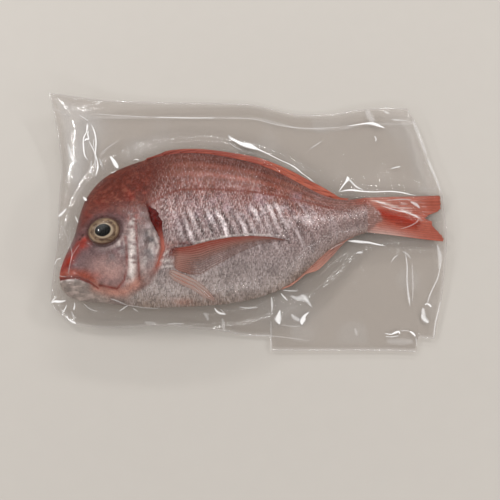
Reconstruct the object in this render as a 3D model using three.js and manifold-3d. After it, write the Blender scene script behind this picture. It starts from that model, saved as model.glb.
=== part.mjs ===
// A whole raw sea bream in a clear vacuum bag, lying on its right side. Millimetres, +Z up.
// X runs from the head to the tail, Y from the belly to the back, and Z = 0 is the surface it lies on.
// The film clings to the fish, so fish and bag are one solid: the fish's own form, fins pressed flat,
// and round it the thin wavy margin where the two sheets of film lie on each other.
import * as THREE from "three";
import { mergeVertices } from "three/addons/utils/BufferGeometryUtils.js";
import Module from "manifold-3d";

// Driving dimensions of the fish.
const BODY_AXIS_HEIGHT = 21.5; // middle plane of head and trunk above the surface
const TAIL_ROOT_HEIGHT = 12; // the same plane where the tail fin starts
const TAIL_TIP_HEIGHT = 6;
const DROOP_START_X = 10;
const TAIL_ROOT_X = 108;
const TAIL_ROOT_BACK = 21.2;
const TAIL_ROOT_BELLY = -10.5;
const THICKEST_AT = 0.46; // share of the section line, from the belly, where the body is thickest
const BACK_EDGE = { power: 1.75, root: 0.82 }; // how the flank closes towards the back
const BELLY_EDGE = { power: 2.2, root: 0.66 }; // and towards the belly, which is rounder
const REST_TURN = 1.5; // height over which the flattened underside turns up into the flank
const ORIGIN = [2.87, 2.34]; // middle of the whole pack in plan, which becomes the part's own origin

// Sections of the body from the snout to the root of the tail: the point of each section line on the
// back, its point on the belly, and half the body's thickness there.
const SECTIONS = [
  { back: [-150.5, -53], belly: [-150.5, -53], half: 2 },
  { back: [-149.6, -42], belly: [-148.2, -62], half: 7 },
  { back: [-146.0, -30], belly: [-142.5, -68], half: 11 },
  { back: [-140.8, -16], belly: [-134.0, -71.5], half: 15 },
  { back: [-138.2, 0], belly: [-124.0, -73.2], half: 18.5 },
  { back: [-133.4, 17.5], belly: [-113.0, -74.2], half: 21 },
  { back: [-122.6, 33.2], belly: [-103.0, -75.2], half: 23 },
  { back: [-105.8, 44], belly: [-92.0, -76.6], half: 24.2 },
  { back: [-84.0, 52.5], belly: [-78.0, -77.8], half: 25.2 },
  { back: [-61.0, 58.5], belly: [-59.0, -77.6], half: 25.6 },
  { back: [-36.0, 59.4], belly: [-36.0, -76.6], half: 25.4 },
  { back: [-10.0, 55.6], belly: [-10.0, -74.3], half: 24 },
  { back: [16.0, 48.8], belly: [15.7, -68.8], half: 21.4 },
  { back: [41.0, 37.6], belly: [39.5, -58.6], half: 17.8 },
  { back: [58.5, 28.3], belly: [57.0, -43.8], half: 15 },
  { back: [74.0, 21.6], belly: [74.0, -27.8], half: 11.8 },
  { back: [91.0, 19.0], belly: [91.0, -16.8], half: 8.8 },
  { back: [TAIL_ROOT_X, TAIL_ROOT_BACK], belly: [TAIL_ROOT_X, TAIL_ROOT_BELLY], half: 5 },
];

// Tail fin, pressed half shut. Its rear edge is given as share from the lower to the upper lobe, X and Y.
const TAIL = {
  upperTip: [174.5, 25],
  lowerTip: [174.5, -17.5],
  rearEdge: [
    [0, 173.8, -17.1],
    [0.05, 174.9, -14.4],
    [0.15, 172.6, -10.8],
    [0.25, 169.4, -7.1],
    [0.36, 166.2, -3.5],
    [0.44, 165.6, 1],
    [0.5, 159.7, 3.8],
    [0.58, 164.3, 7.5],
    [0.66, 171.5, 10.2],
    [0.75, 174.4, 13],
    [1, 174.4, 25],
  ],
  halfTip: 1.3,
  foldFrom: [117, 6.5],
  foldTo: [151, -1],
  foldHeight: 2.6,
  foldWidth: 4.5,
};

// Folded fins on the edges of the body: where they run in X, how far they stand out, half thickness.
const DORSAL_FIN = { from: -84, to: 92, low: 3.4, high: 7.2, highAt: 0.84, half: 2.2 };
const FIN_FRONT = 0.12; // share of a fin's length over which its front rises
const ANAL_FIN = { from: 33, to: 94, low: 1.5, high: 8.2, highAt: 0.55, half: 2.0 };

// Relief on both flanks, at plan positions.
const EYE = { centre: [-111.6, -18.6], radii: [13.6, 11.6], rise: 2.8, grooveDepth: 1, grooveWidth: 0.15 };
const GILL_EDGE = [[-78, 4], [-73.3, -10], [-65.4, -25.3], [-64.3, -34], [-67.8, -46.5], [-75, -61], [-92, -71]];
const GILL_STEP = { rise: 2, length: 12, slitDepth: 1.6, slitWidth: 3 };
const MOUTH = { path: [[-152, -55.5], [-140, -55.8], [-130, -56.5], [-116, -63.5]], depth: 2.4, width: 2.2 };
const PREOPERCLE = {
  path: [[-93.5, -24], [-92, -42], [-93.5, -57], [-102, -65], [-114, -61]],
  depth: 0.9,
  width: 2.2,
};
const PECTORAL_FIN = { root: [-56, -42], rootHalfWidth: 8, tip: [38, -24.5], bow: 5, sweep: 17, thick: 1.9 };
const PELVIC_FIN = { from: [-57, -52], to: [-21, -73], rise: 1.8, width: 4.2 };

// The bag: corners and points of its four edges in plan, as they lie, with the height of each.
const BAG_TOP = [
  [-171.7, 114.8, 26], [-148.9, 115.7, 17], [-130, 116.1, 11], [-112, 116.1, 8], [-71, 116.3, 5],
  [-30, 116.3, 4], [7, 115.5, 3], [30, 109.9, 3], [46, 105.7, 3], [66, 104.7, 3], [85, 105.2, 4],
  [101, 108, 5], [130, 109.7, 7], [150.6, 108.4, 8],
];
const BAG_RIGHT = [
  [150.6, 108.4, 8], [157.5, 93.1, 8], [162.7, 73.4, 8], [166.5, 54.1, 8], [172.6, 38, 8],
  [176.2, 25.7, 8], [177.3, 5, 8], [177.2, -14.9, 8], [175.8, -28, 7.5], [171.7, -57, 5], [168.5, -72, 4],
  [161.5, -100.7, 3],
];
const BAG_BOTTOM = [
  [161.5, -100.7, 3], [124.6, -98.6, 2.5], [24.6, -98.4, 3], [-1.4, -97.2, 3], [-14, -94.8, 4],
  [-47.5, -91.6, 5], [-72, -90.6, 6], [-110.2, -92.4, 6], [-139.7, -88.8, 6], [-153.3, -80.2, 5],
  [-162, -70.8, 5],
];
const BAG_LEFT = [
  [-162, -70.8, 5], [-161.4, -55, 7], [-160.2, -38, 9], [-159, -16.5, 9], [-160.5, 5.9, 8],
  [-160.7, 28, 9], [-160.2, 43.6, 11], [-161.4, 62.5, 14], [-165.1, 85.1, 19], [-171.7, 114.8, 26],
];
const TAB = { from: 24.6, to: 146.7, depth: 12.3 }; // clear strip that stands out below the lower edge
const FILM = { half: 0.45, tent: 4.6, tentReach: 8, inset: 7, tailInset: 24 };
const SLACK = { lowest: 0.9, atFish: 0.24, atEdge: 0.13 }; // how steeply the film comes down from each
const TAUT = { below: 8, slackFrom: 32 }; // distances between fish and edge over which the film is taut
const EDGE_WAVE = { height: 1.1, length: 46 };

// Mesh resolution.
const BODY_STEPS = 76;
const TAIL_STEPS = 14;
const UPPER_STEPS = 28;
const LOWER_STEPS = 12;
const FIN_STEPS = 30;
const MARGIN_SPACING = 10;
const MARGIN_STEPS = 7;

const FISH_COLOUR = 0xa5665a;
const FISH_ROUGHNESS = 0.3;

const clamp = THREE.MathUtils.clamp;
const lerp = THREE.MathUtils.lerp;
const smooth = THREE.MathUtils.smoothstep;
const bell = (distance, width) => Math.exp(-((distance / width) ** 2));
const curveOf = (points) => new THREE.SplineCurve(points.map(([x, y]) => new THREE.Vector2(x, y)));

const backLine = curveOf(SECTIONS.map((s) => s.back));
const bellyLine = curveOf(SECTIONS.map((s) => s.belly));
const halfLine = curveOf(SECTIONS.map((s, i) => [i, s.half]));

// Height of the body's middle plane at x: level along the trunk, drooping towards the tail.
function axisHeight(x) {
  const trunk = lerp(BODY_AXIS_HEIGHT, TAIL_ROOT_HEIGHT, smooth(x, DROOP_START_X, TAIL_ROOT_X));
  return lerp(trunk, TAIL_TIP_HEIGHT, smooth(x, TAIL_ROOT_X - 10, TAIL.upperTip[0]));
}

// Share of the half thickness at place s on a section line, from 0 at the belly to 1 at the back.
function fullness(s) {
  const towardsBack = s > THICKEST_AT;
  const edge = towardsBack ? BACK_EDGE : BELLY_EDGE;
  const far = towardsBack ? (s - THICKEST_AT) / (1 - THICKEST_AT) : (THICKEST_AT - s) / THICKEST_AT;
  return Math.max(0, 1 - far ** edge.power) ** edge.root;
}

function pathDistance(path, x, y) {
  let nearest = Infinity;
  for (let i = 1; i < path.length; i++) {
    const [ax, ay] = path[i - 1];
    const [bx, by] = path[i];
    const t = clamp(((x - ax) * (bx - ax) + (y - ay) * (by - ay)) / ((bx - ax) ** 2 + (by - ay) ** 2), 0, 1);
    nearest = Math.min(nearest, Math.hypot(x - ax - t * (bx - ax), y - ay - t * (by - ay)));
  }
  return nearest;
}

// The X of a path that runs down in Y, at height y.
function pathX(path, y) {
  for (let i = 1; i < path.length; i++) {
    const [ax, ay] = path[i - 1];
    const [bx, by] = path[i];
    if (y <= ay && y >= by) return lerp(ax, bx, (ay - y) / (ay - by));
  }
  return y > path[0][1] ? path[0][0] : path[path.length - 1][0];
}

function eyeRelief(x, y) {
  const r = Math.hypot((x - EYE.centre[0]) / EYE.radii[0], (y - EYE.centre[1]) / EYE.radii[1]);
  const ball = r < 1 ? EYE.rise * Math.sqrt(1 - r ** 2) : 0;
  return ball - EYE.grooveDepth * bell(r - 1, EYE.grooveWidth);
}

// The gill cover rises towards its rear edge, with the open slit behind it.
function gillRelief(x, y) {
  const behind = x - pathX(GILL_EDGE, y);
  const gate = smooth(y, GILL_EDGE[GILL_EDGE.length - 1][1] - 4, -60) * (1 - smooth(y, 0, 10));
  const cover = behind < 0 ? GILL_STEP.rise * bell(behind, GILL_STEP.length) : 0;
  return gate * (cover - GILL_STEP.slitDepth * bell(behind - GILL_STEP.slitWidth, GILL_STEP.slitWidth));
}

// The pectoral fin tapers from its root to a long tip; t runs along it and w across it.
function pectoralRelief(x, y) {
  const { root, tip, rootHalfWidth, bow, sweep, thick } = PECTORAL_FIN;
  const t = (x - root[0]) / (tip[0] - root[0]);
  if (t < 0 || t > 1) return 0;
  const upper = lerp(root[1] + rootHalfWidth, tip[1], t) + bow * Math.sin(Math.PI * t);
  const lower = upper - (2 * rootHalfWidth + sweep * Math.sin(Math.PI * Math.min(1, t * 1.7))) * (1 - t) ** 1.2;
  return thick * smooth(y, lower - 1, lower + 2) * (1 - smooth(y, upper - 1, upper + 1.5));
}

function flankRelief(x, y) {
  return (
    eyeRelief(x, y) +
    gillRelief(x, y) -
    MOUTH.depth * bell(pathDistance(MOUTH.path, x, y), MOUTH.width) -
    PREOPERCLE.depth * bell(pathDistance(PREOPERCLE.path, x, y), PREOPERCLE.width) +
    pectoralRelief(x, y) +
    PELVIC_FIN.rise * bell(pathDistance([PELVIC_FIN.from, PELVIC_FIN.to], x, y), PELVIC_FIN.width)
  );
}

// The underside is pressed flat on the surface at Z = 0, with a soft turn up into the flank.
function pressed(z) {
  if (z > REST_TURN) return z;
  return z < -REST_TURN ? 0 : (z + REST_TURN) ** 2 / (4 * REST_TURN);
}

// A point on the trunk: u along it, s across the section, side 1 on top and -1 underneath.
function bodyPoint(u, s, side) {
  const back = backLine.getPoint(u);
  const belly = bellyLine.getPoint(u);
  const half = halfLine.getPoint(u).y * fullness(s);
  const x = lerp(belly.x, back.x, s);
  const y = lerp(belly.y, back.y, s);
  const z = axisHeight(x) + side * (half + flankRelief(x, y) * fullness(s) ** 1.5);
  return [x, y, side > 0 ? z : pressed(z)];
}

// The point at share s of the tail fin's rear edge.
function rearEdge(s) {
  const i = Math.max(1, TAIL.rearEdge.findIndex(([share]) => share >= s));
  const [fromShare, fromX, fromY] = TAIL.rearEdge[i - 1];
  const [toShare, toX, toY] = TAIL.rearEdge[i];
  const t = (s - fromShare) / (toShare - fromShare);
  return [lerp(fromX, toX, t), lerp(fromY, toY, t)];
}

// A point on the tail fin: w from its root to its forked edge.
function tailPoint(w, s, side) {
  const [rootX, rootY] = bodyPoint(1, s, side);
  const [edgeX, edgeY] = rearEdge(s);
  const x = lerp(rootX, edgeX, w);
  const y = lerp(rootY, edgeY, w);
  const rootHalf = SECTIONS[SECTIONS.length - 1].half * fullness(s);
  const half = lerp(rootHalf, TAIL.halfTip, smooth(w, 0, 0.4)) + 0.05;
  const aside = pathDistance([TAIL.foldFrom, TAIL.foldTo], x, y);
  const fold = TAIL.foldHeight * smooth(w, 0, 0.25) * bell(aside, TAIL.foldWidth);
  const z = axisHeight(x) + side * half + (side > 0 ? fold : 0);
  return [x, y, side > 0 ? z : pressed(z)];
}

// Places across a section, evenly turned about its middle so that the edges are round.
function across(steps) {
  return Array.from({ length: steps + 1 }, (_, i) => (1 + Math.cos((Math.PI * i) / steps)) / 2);
}

// A closed solid from rings of points that all have the same length, capped at both ends by fans.
function loft(rings) {
  const size = rings[0].length;
  const positions = [];
  const corner = (i, j) => rings[i][(j + size) % size];
  const face = (...points) => points.forEach((p) => positions.push(...p));
  for (let i = 1; i < rings.length; i++) {
    for (let j = 0; j < size; j++) {
      face(corner(i - 1, j), corner(i, j + 1), corner(i, j));
      face(corner(i - 1, j), corner(i - 1, j + 1), corner(i, j + 1));
    }
  }
  return positions;
}

// The cap of a flat ring: strips between the two halves that run from its first point to its middle one.
function stripCap(ring, upperSteps, outward) {
  const positions = [];
  const size = ring.length;
  const triangle = (a, b, c) => {
    if (a === b || b === c || c === a) return;
    positions.push(...a, ...(outward ? b : c), ...(outward ? c : b));
  };
  let top = 0;
  let under = size;
  while (top < upperSteps || under > upperSteps) {
    const topShare = top / upperSteps;
    const underShare = (size - under) / (size - upperSteps);
    if (under === upperSteps || (top < upperSteps && topShare <= underShare)) {
      triangle(ring[top], ring[top + 1], ring[under % size]);
      top += 1;
    } else {
      triangle(ring[top], ring[under - 1], ring[under % size]);
      under -= 1;
    }
  }
  return positions;
}

function geometryOf(positions) {
  const geometry = new THREE.BufferGeometry();
  geometry.setAttribute("position", new THREE.Float32BufferAttribute(positions, 3));
  return geometry;
}

// One ring round the fish: over the upper flank from back to belly, then home along the underside.
function ringOf(pointAt) {
  const upper = across(UPPER_STEPS).map((s) => pointAt(s, 1));
  const lower = across(LOWER_STEPS).reverse().map((s) => pointAt(s, -1));
  return [...upper, ...lower.slice(1, -1)];
}

function fishGeometry() {
  const rings = [];
  for (let i = 1; i <= BODY_STEPS; i++) {
    const u = (i / BODY_STEPS) ** 1.12;
    rings.push(ringOf((s, side) => bodyPoint(u, s, side)));
  }
  for (let i = 1; i <= TAIL_STEPS; i++) {
    rings.push(ringOf((s, side) => tailPoint(i / TAIL_STEPS, s, side)));
  }
  const snout = stripCap(rings[0], UPPER_STEPS, false);
  const tail = stripCap(rings[rings.length - 1], UPPER_STEPS, true);
  return geometryOf([...loft(rings), ...snout, ...tail]);
}

// Where a spline that runs along the fish passes x: its share u and its y.
function crossing(line, x) {
  let low = 0;
  let high = 1;
  for (let i = 0; i < 40; i++) {
    const middle = (low + high) / 2;
    if (line.getPoint(middle).x < x) low = middle;
    else high = middle;
  }
  return line.getPoint(low).y;
}

// How far a folded fin stands out at share t of its length: low at the front, highest near the rear.
function finHeight(fin, t) {
  const rise = fin.low + (fin.high - fin.low) * smooth(t, 0.3, fin.highAt);
  return rise * smooth(t, 0, FIN_FRONT) * (1 - smooth(t, fin.highAt, 1) ** 1.5);
}

// A folded fin on an edge of the body: a thin wedge along the line, standing out to one side.
function finGeometry(fin, line, outward) {
  const sunk = 5;
  const rings = [];
  for (let i = 0; i <= FIN_STEPS; i++) {
    const t = i / FIN_STEPS;
    const x = lerp(fin.from, fin.to, t);
    const root = crossing(line, x);
    const edge = root + outward * Math.max(0.3, finHeight(fin, t));
    const inner = root - outward * sunk;
    const z = axisHeight(x);
    const half = fin.half * (0.35 + 0.65 * Math.sin(Math.PI * clamp(t, 0.08, 0.92)));
    const ring = [[x, inner, z - half], [x, root, z - half], [x, edge, z - 0.5], [x, edge, z + 0.5]];
    ring.push([x, root, z + half], [x, inner, z + half]);
    rings.push(outward > 0 ? ring : ring.reverse());
  }
  const cap = (ring, turned) => {
    const triangles = [];
    for (let j = 1; j < ring.length - 1; j++) {
      triangles.push(...ring[0], ...(turned ? ring[j + 1] : ring[j]), ...(turned ? ring[j] : ring[j + 1]));
    }
    return triangles;
  };
  return geometryOf([...loft(rings), ...cap(rings[0], true), ...cap(rings[rings.length - 1], false)]);
}

// Outline of fish and fins in plan, from the snout over the back and round the tail to the belly.
function silhouette() {
  const steps = 120;
  const along = Array.from({ length: steps }, (_, i) => i / steps);
  const fin = (f, x) => (x > f.from && x < f.to ? finHeight(f, (x - f.from) / (f.to - f.from)) : 0);
  const upper = along.map((u) => backLine.getPoint(u)).map((p) => [p.x, p.y + fin(DORSAL_FIN, p.x)]);
  const lower = along.map((u) => bellyLine.getPoint(u)).map((p) => [p.x, p.y - fin(ANAL_FIN, p.x)]);
  const tail = [[TAIL_ROOT_X, TAIL_ROOT_BACK], TAIL.upperTip, TAIL.lowerTip, [TAIL_ROOT_X, TAIL_ROOT_BELLY]];
  return [...upper, ...tail, ...lower.reverse().slice(0, -1)];
}

// Length along the ray from a to b at which it leaves a closed outline for the last time.
function lastCrossing(outline, a, b) {
  const dx = b[0] - a[0];
  const dy = b[1] - a[1];
  let last = 0;
  outline.forEach(([px, py], i) => {
    const [qx, qy] = outline[(i + 1) % outline.length];
    const turn = dx * (qy - py) - dy * (qx - px);
    if (Math.abs(turn) < 1e-9) return;
    const t = ((px - a[0]) * (qy - py) - (py - a[1]) * (qx - px)) / turn;
    const s = ((px - a[0]) * dy - (py - a[1]) * dx) / turn;
    if (s >= 0 && s <= 1 && t <= 1) last = Math.max(last, t);
  });
  return last;
}

// Points of the bag's edge at an even spacing, with every corner kept, and the height of each.
function bagEdge() {
  const points = [];
  for (const side of [BAG_TOP, BAG_RIGHT, BAG_BOTTOM, BAG_LEFT]) {
    const curve = new THREE.CatmullRomCurve3(side.map((p) => new THREE.Vector3(...p)));
    const steps = Math.round(curve.getLength() / MARGIN_SPACING);
    for (let i = 0; i < steps; i++) points.push(curve.getPointAt(i / steps));
  }
  return points.map((p) => {
    const inTab = p.y < -90 && p.x > TAB.from && p.x < TAB.to;
    return new THREE.Vector3(p.x, p.y - (inTab ? TAB.depth : 0), Math.max(p.z, 2 * FILM.half));
  });
}

// Distances from the fish at which a ray over the margin has its points: even where the film hangs free
// from fish to edge, and otherwise close together where it comes down from the fish and rises to the edge.
function marginDistances(reach, fromFish, fromEdge) {
  if (reach < fromFish + fromEdge) {
    return Array.from({ length: MARGIN_STEPS + 1 }, (_, i) => (i / MARGIN_STEPS) * reach);
  }
  const landing = reach - fromEdge;
  const down = [0, 0.28, 0.6, 1].map((share) => share * fromFish);
  return [...down, (fromFish + landing) / 2, landing, reach - fromEdge / 2, reach];
}

// Drop of the slack film from the fish, and its rise to the edge, as roots of the heights.
function slackRoots(level, edge) {
  return [Math.sqrt(level - SLACK.lowest), Math.sqrt(Math.max(0, edge - SLACK.lowest))];
}

// Height of the film between the fish and the bag's edge: two parabolas that both end at the surface
// where there is slack, and a straight line from one to the other where there is none.
function filmHeight(distance, reach, level, edge) {
  const [fish, rim] = slackRoots(level, edge);
  const down = (d) => Math.max(0, fish - SLACK.atFish * d) ** 2;
  const up = (d) => Math.max(0, rim - SLACK.atEdge * (reach - d)) ** 2;
  const share = distance / reach;
  const slack = SLACK.lowest + down(distance) + up(distance) - lerp(up(0), down(reach), share);
  return lerp(lerp(level, edge, share), slack, smooth(reach, TAUT.below, TAUT.slackFrom));
}

// The margin of film round the fish: two faces, split into triangles alike, over rays that run from
// inside the fish to the bag's edge. The sheets leave the fish in a tent and lie on each other beyond.
function marginGeometry() {
  const outline = silhouette();
  const rows = bagEdge().map((edge) => {
    const spineX = clamp(edge.x, -98, 148);
    const spine = [spineX, spineX > 90 ? 3 : -8];
    const share = lastCrossing(outline, spine, [edge.x, edge.y]);
    const length = Math.hypot(edge.x - spine[0], edge.y - spine[1]);
    const reach = length * (1 - share);
    const at = (distance) => {
      const t = share + distance / length;
      return [lerp(spine[0], edge.x, t), lerp(spine[1], edge.y, t)];
    };
    const [fishX] = at(0);
    const level = axisHeight(fishX);
    const fat = clamp((level - TAIL_TIP_HEIGHT) / (BODY_AXIS_HEIGHT - TAIL_TIP_HEIGHT), 0.4, 1);
    const inset = lerp(FILM.inset, FILM.tailInset, smooth(fishX, TAIL_ROOT_X + 30, TAIL_ROOT_X + 60));
    const [fish, rim] = slackRoots(level, edge.z);
    const distances = [-inset, ...marginDistances(reach, fish / SLACK.atFish, rim / SLACK.atEdge)];
    return distances.map((distance, k) => {
      const [x, y] = at(distance);
      const outside = Math.max(0, distance);
      const swell = k < distances.length - 1 ? EDGE_WAVE.height * smooth(outside, 10, 40) : 0;
      const wave = swell * Math.sin((2 * Math.PI * (x + 0.6 * y)) / EDGE_WAVE.length);
      const middle = filmHeight(outside, reach, level, edge.z) + wave;
      const tent = FILM.tent * fat * Math.exp(-outside / FILM.tentReach) * (1 - outside / reach);
      const half = FILM.half + tent;
      const low = Math.max(0, middle - half);
      return { x, y, low, high: Math.max(middle + half, low + 2 * FILM.half) };
    });
  });
  const positions = [];
  const count = rows.length;
  const quad = (a, b, c, d) => positions.push(...a, ...b, ...c, ...a, ...c, ...d);
  const top = (p) => [p.x, p.y, p.high];
  const under = (p) => [p.x, p.y, p.low];
  rows.forEach((row, i) => {
    const next = rows[(i + 1) % count];
    for (let k = 1; k < row.length; k++) {
      quad(top(row[k - 1]), top(next[k - 1]), top(next[k]), top(row[k]));
      quad(under(row[k]), under(next[k]), under(next[k - 1]), under(row[k - 1]));
    }
    const last = row.length - 1;
    quad(top(row[last]), top(next[last]), under(next[last]), under(row[last]));
    quad(under(row[0]), under(next[0]), top(next[0]), top(row[0]));
  });
  return geometryOf(positions);
}

const wasm = await Module();
wasm.setup();

function solidOf(geometry) {
  const merged = mergeVertices(geometry, 1e-4);
  const mesh = new wasm.Mesh({
    numProp: 3,
    vertProperties: merged.attributes.position.array,
    triVerts: new Uint32Array(merged.index.array),
  });
  return new wasm.Manifold(mesh);
}

function meshOf(solid, name, material) {
  const { vertProperties, triVerts } = solid.getMesh();
  const geometry = new THREE.BufferGeometry();
  geometry.setAttribute("position", new THREE.BufferAttribute(vertProperties, 3));
  geometry.setIndex(new THREE.BufferAttribute(triVerts, 1));
  geometry.computeVertexNormals();
  const mesh = new THREE.Mesh(geometry, material);
  mesh.name = name;
  return mesh;
}

const fish = solidOf(fishGeometry());
const dorsalFin = solidOf(finGeometry(DORSAL_FIN, backLine, 1));
const analFin = solidOf(finGeometry(ANAL_FIN, bellyLine, -1));
const margin = solidOf(marginGeometry());
const packed = fish.add(dorsalFin).add(analFin).add(margin);

const skin = new THREE.MeshStandardMaterial({ color: FISH_COLOUR, roughness: FISH_ROUGHNESS, metalness: 0 });
const pack = new THREE.Group();
pack.add(meshOf(packed, "fish_in_vacuum_bag", skin));
pack.position.set(-ORIGIN[0], -ORIGIN[1], 0);

export default pack;
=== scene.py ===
"""A whole raw sea bream in a clear vacuum bag, lying on its right side.

Plan positions in this file are millimetres on the surface that the pack lies on: X from the head to the
tail, Y from the belly to the back, Z up. ORIGIN is the middle of the pack in that plan.
"""

import math

import bpy
import mathutils
import numpy as np
from mathutils.bvhtree import BVHTree
from bpy.props import FloatProperty, FloatVectorProperty, IntProperty, PointerProperty
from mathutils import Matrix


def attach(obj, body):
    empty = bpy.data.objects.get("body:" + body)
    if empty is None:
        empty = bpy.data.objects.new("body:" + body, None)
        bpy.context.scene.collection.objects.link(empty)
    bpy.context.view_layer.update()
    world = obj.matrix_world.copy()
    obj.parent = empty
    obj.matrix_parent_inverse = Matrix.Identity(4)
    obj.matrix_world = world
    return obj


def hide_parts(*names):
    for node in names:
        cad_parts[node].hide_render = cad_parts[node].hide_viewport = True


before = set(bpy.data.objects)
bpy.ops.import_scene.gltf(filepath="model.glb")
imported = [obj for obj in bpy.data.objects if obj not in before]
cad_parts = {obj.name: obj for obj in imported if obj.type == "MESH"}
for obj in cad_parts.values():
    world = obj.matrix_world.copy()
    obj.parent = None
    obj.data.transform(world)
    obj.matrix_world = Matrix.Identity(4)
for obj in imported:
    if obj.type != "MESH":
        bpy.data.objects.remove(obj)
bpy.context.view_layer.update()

bl_info = {
    "name": "Vacuum packed sea bream",
    "version": (1, 0, 0),
    "blender": (4, 5, 0),
    "location": "3D View > Sidebar > Fish",
    "description": "Builds a whole raw sea bream in a clear vacuum bag",
    "category": "Add Mesh",
}

# The photograph's size and the camera fitted to it: degrees, millimetres and pixels.
PHOTO_PIXELS = 500
CAMERA = {"elevation": 75.0, "distance": 549.0, "aim": (7.0, -27.0, 15.0), "focal_px": 646.0}

NODE = "fish_in_vacuum_bag"
BODY = "root"
MM = 0.001
ORIGIN = np.array([2.87, 2.34, 0.0])

# Form of the body, the same named values as the solid's own source.
BODY_AXIS_HEIGHT = 21.5
TAIL_ROOT_HEIGHT = 12.0
TAIL_TIP_HEIGHT = 6.0
DROOP_START_X = 10.0
TAIL_ROOT_X = 108.0
THICKEST_AT = 0.46
BACK_EDGE = (1.75, 0.82)
BELLY_EDGE = (2.2, 0.66)
REST_TURN = 1.5

# Sections from snout to tail root: point on the back, point on the belly, half thickness.
SECTIONS = np.array([
    (-150.5, -53, -150.5, -53, 2),
    (-149.6, -42, -148.2, -62, 7),
    (-146.0, -30, -142.5, -68, 11),
    (-140.8, -16, -134.0, -71.5, 15),
    (-138.2, 0, -124.0, -73.2, 18.5),
    (-133.4, 17.5, -113.0, -74.2, 21),
    (-122.6, 33.2, -103.0, -75.2, 23),
    (-105.8, 44, -92.0, -76.6, 24.2),
    (-84.0, 52.5, -78.0, -77.8, 25.2),
    (-61.0, 58.5, -59.0, -77.6, 25.6),
    (-36.0, 59.4, -36.0, -76.6, 25.4),
    (-10.0, 55.6, -10.0, -74.3, 24),
    (16.0, 48.8, 15.7, -68.8, 21.4),
    (41.0, 37.6, 39.5, -58.6, 17.8),
    (58.5, 28.3, 57.0, -43.8, 15),
    (74.0, 21.6, 74.0, -27.8, 11.8),
    (91.0, 19.0, 91.0, -16.8, 8.8),
    (TAIL_ROOT_X, 21.2, TAIL_ROOT_X, -10.5, 5),
])
LAST = len(SECTIONS) - 1

# Landmarks of the head and flank.
EYE_CENTRE = (-111.6, -18.6)
EYE_RADII = (13.6, 11.6)
GILL_EDGE = np.array([
    (-78, 4), (-73.3, -10), (-65.4, -25.3), (-64.3, -34), (-67.8, -46.5), (-75, -61), (-92, -71),
])
GILL_AT = 7.65
MOUTH = np.array([(-152, -55.5), (-140, -55.4), (-131, -56.2), (-122, -59.6), (-115.5, -64)])
JAW_PLATE = np.array([(-143, -51), (-130, -51), (-119, -56.5), (-113.5, -63)])
PREOPERCLE = np.array([(-93.5, -24), (-91.8, -38), (-91.5, -50), (-94, -58), (-100, -64.5), (-114, -62)])
CHEEK_RIDGE = np.array([(-86.5, 0), (-84.3, -25), (-82.5, -42), (-81.5, -58)])
LATERAL_LINE = np.array([
    (-78, 3), (-66.9, 8.6), (-58.8, 12), (-48.2, 14.7), (-29.3, 17.7), (-13.6, 18.2), (2.9, 16.4),
    (16.9, 12.9), (27.5, 10.3), (48, 6.8), (64.3, 3.4), (80.6, 0), (101, 1.5), (112, 3),
])

# Thin red line of the tubed scales along the flank.
RED_LINE = np.array([
    (-78, 3), (-68, 9.6), (-59.6, 14.2), (-50, 17.7), (-26, 18.4), (7, 16.9), (32, 14.8), (58, 10.7),
    (101, 4.5),
])

# Folded fins on the edges: from, to, low, high, place of the highest, half thickness.
DORSAL_FIN = (-84.0, 92.0, 3.4, 7.2, 0.84, 2.2)
ANAL_FIN = (33.0, 94.0, 1.5, 8.2, 0.55, 2.0)

# Tail fin: corners of its lobes, and its rear edge as share from the lower to the upper lobe, X and Y.
TAIL_UPPER = (174.5, 25.0)
TAIL_LOWER = (174.5, -17.5)
TAIL_EDGE = np.array([
    (0, 173.8, -17.1), (0.05, 174.9, -14.4), (0.15, 172.6, -10.8), (0.25, 169.4, -7.1), (0.36, 166.2, -3.5),
    (0.44, 165.6, 1.0), (0.50, 159.7, 3.8), (0.58, 164.3, 7.5), (0.66, 171.5, 10.2), (0.75, 174.4, 13.0),
    (1, 174.4, 25.0),
])

TAIL_FORK = (168, 4)
TAIL_RAYS = 17
TAIL_FOLD = np.array([(117, 6.5), (134, 3.2), (151, -1)])
TAIL_CREASE = np.array([(118, 17), (174, 21)])

# Edges of the pectoral fin, and the middle line of the pelvic fin, from root to tip.
PECTORAL_UPPER = np.array([
    (-57, -37), (-53.3, -33.9), (-41.3, -32.3), (-25.2, -27.7), (-9.1, -24.7), (7, -23.3), (23.2, -23.3),
    (38.5, -24.9),
])
PECTORAL_LOWER = np.array([
    (-57, -46.5), (-50.4, -51.3), (-41, -54.4), (-32.8, -54.8), (-17, -45.8), (-1, -36.6), (15.1, -29.8),
    (38.5, -25.1),
])
PELVIC_LINE = np.array([(-57.5, -52.5), (-52.9, -55.2), (-37.4, -62), (-22, -72.3)])
PECTORAL_RAYS = 13
PELVIC_RAYS = 3
EDGE_FIN_RAYS = 9

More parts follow.
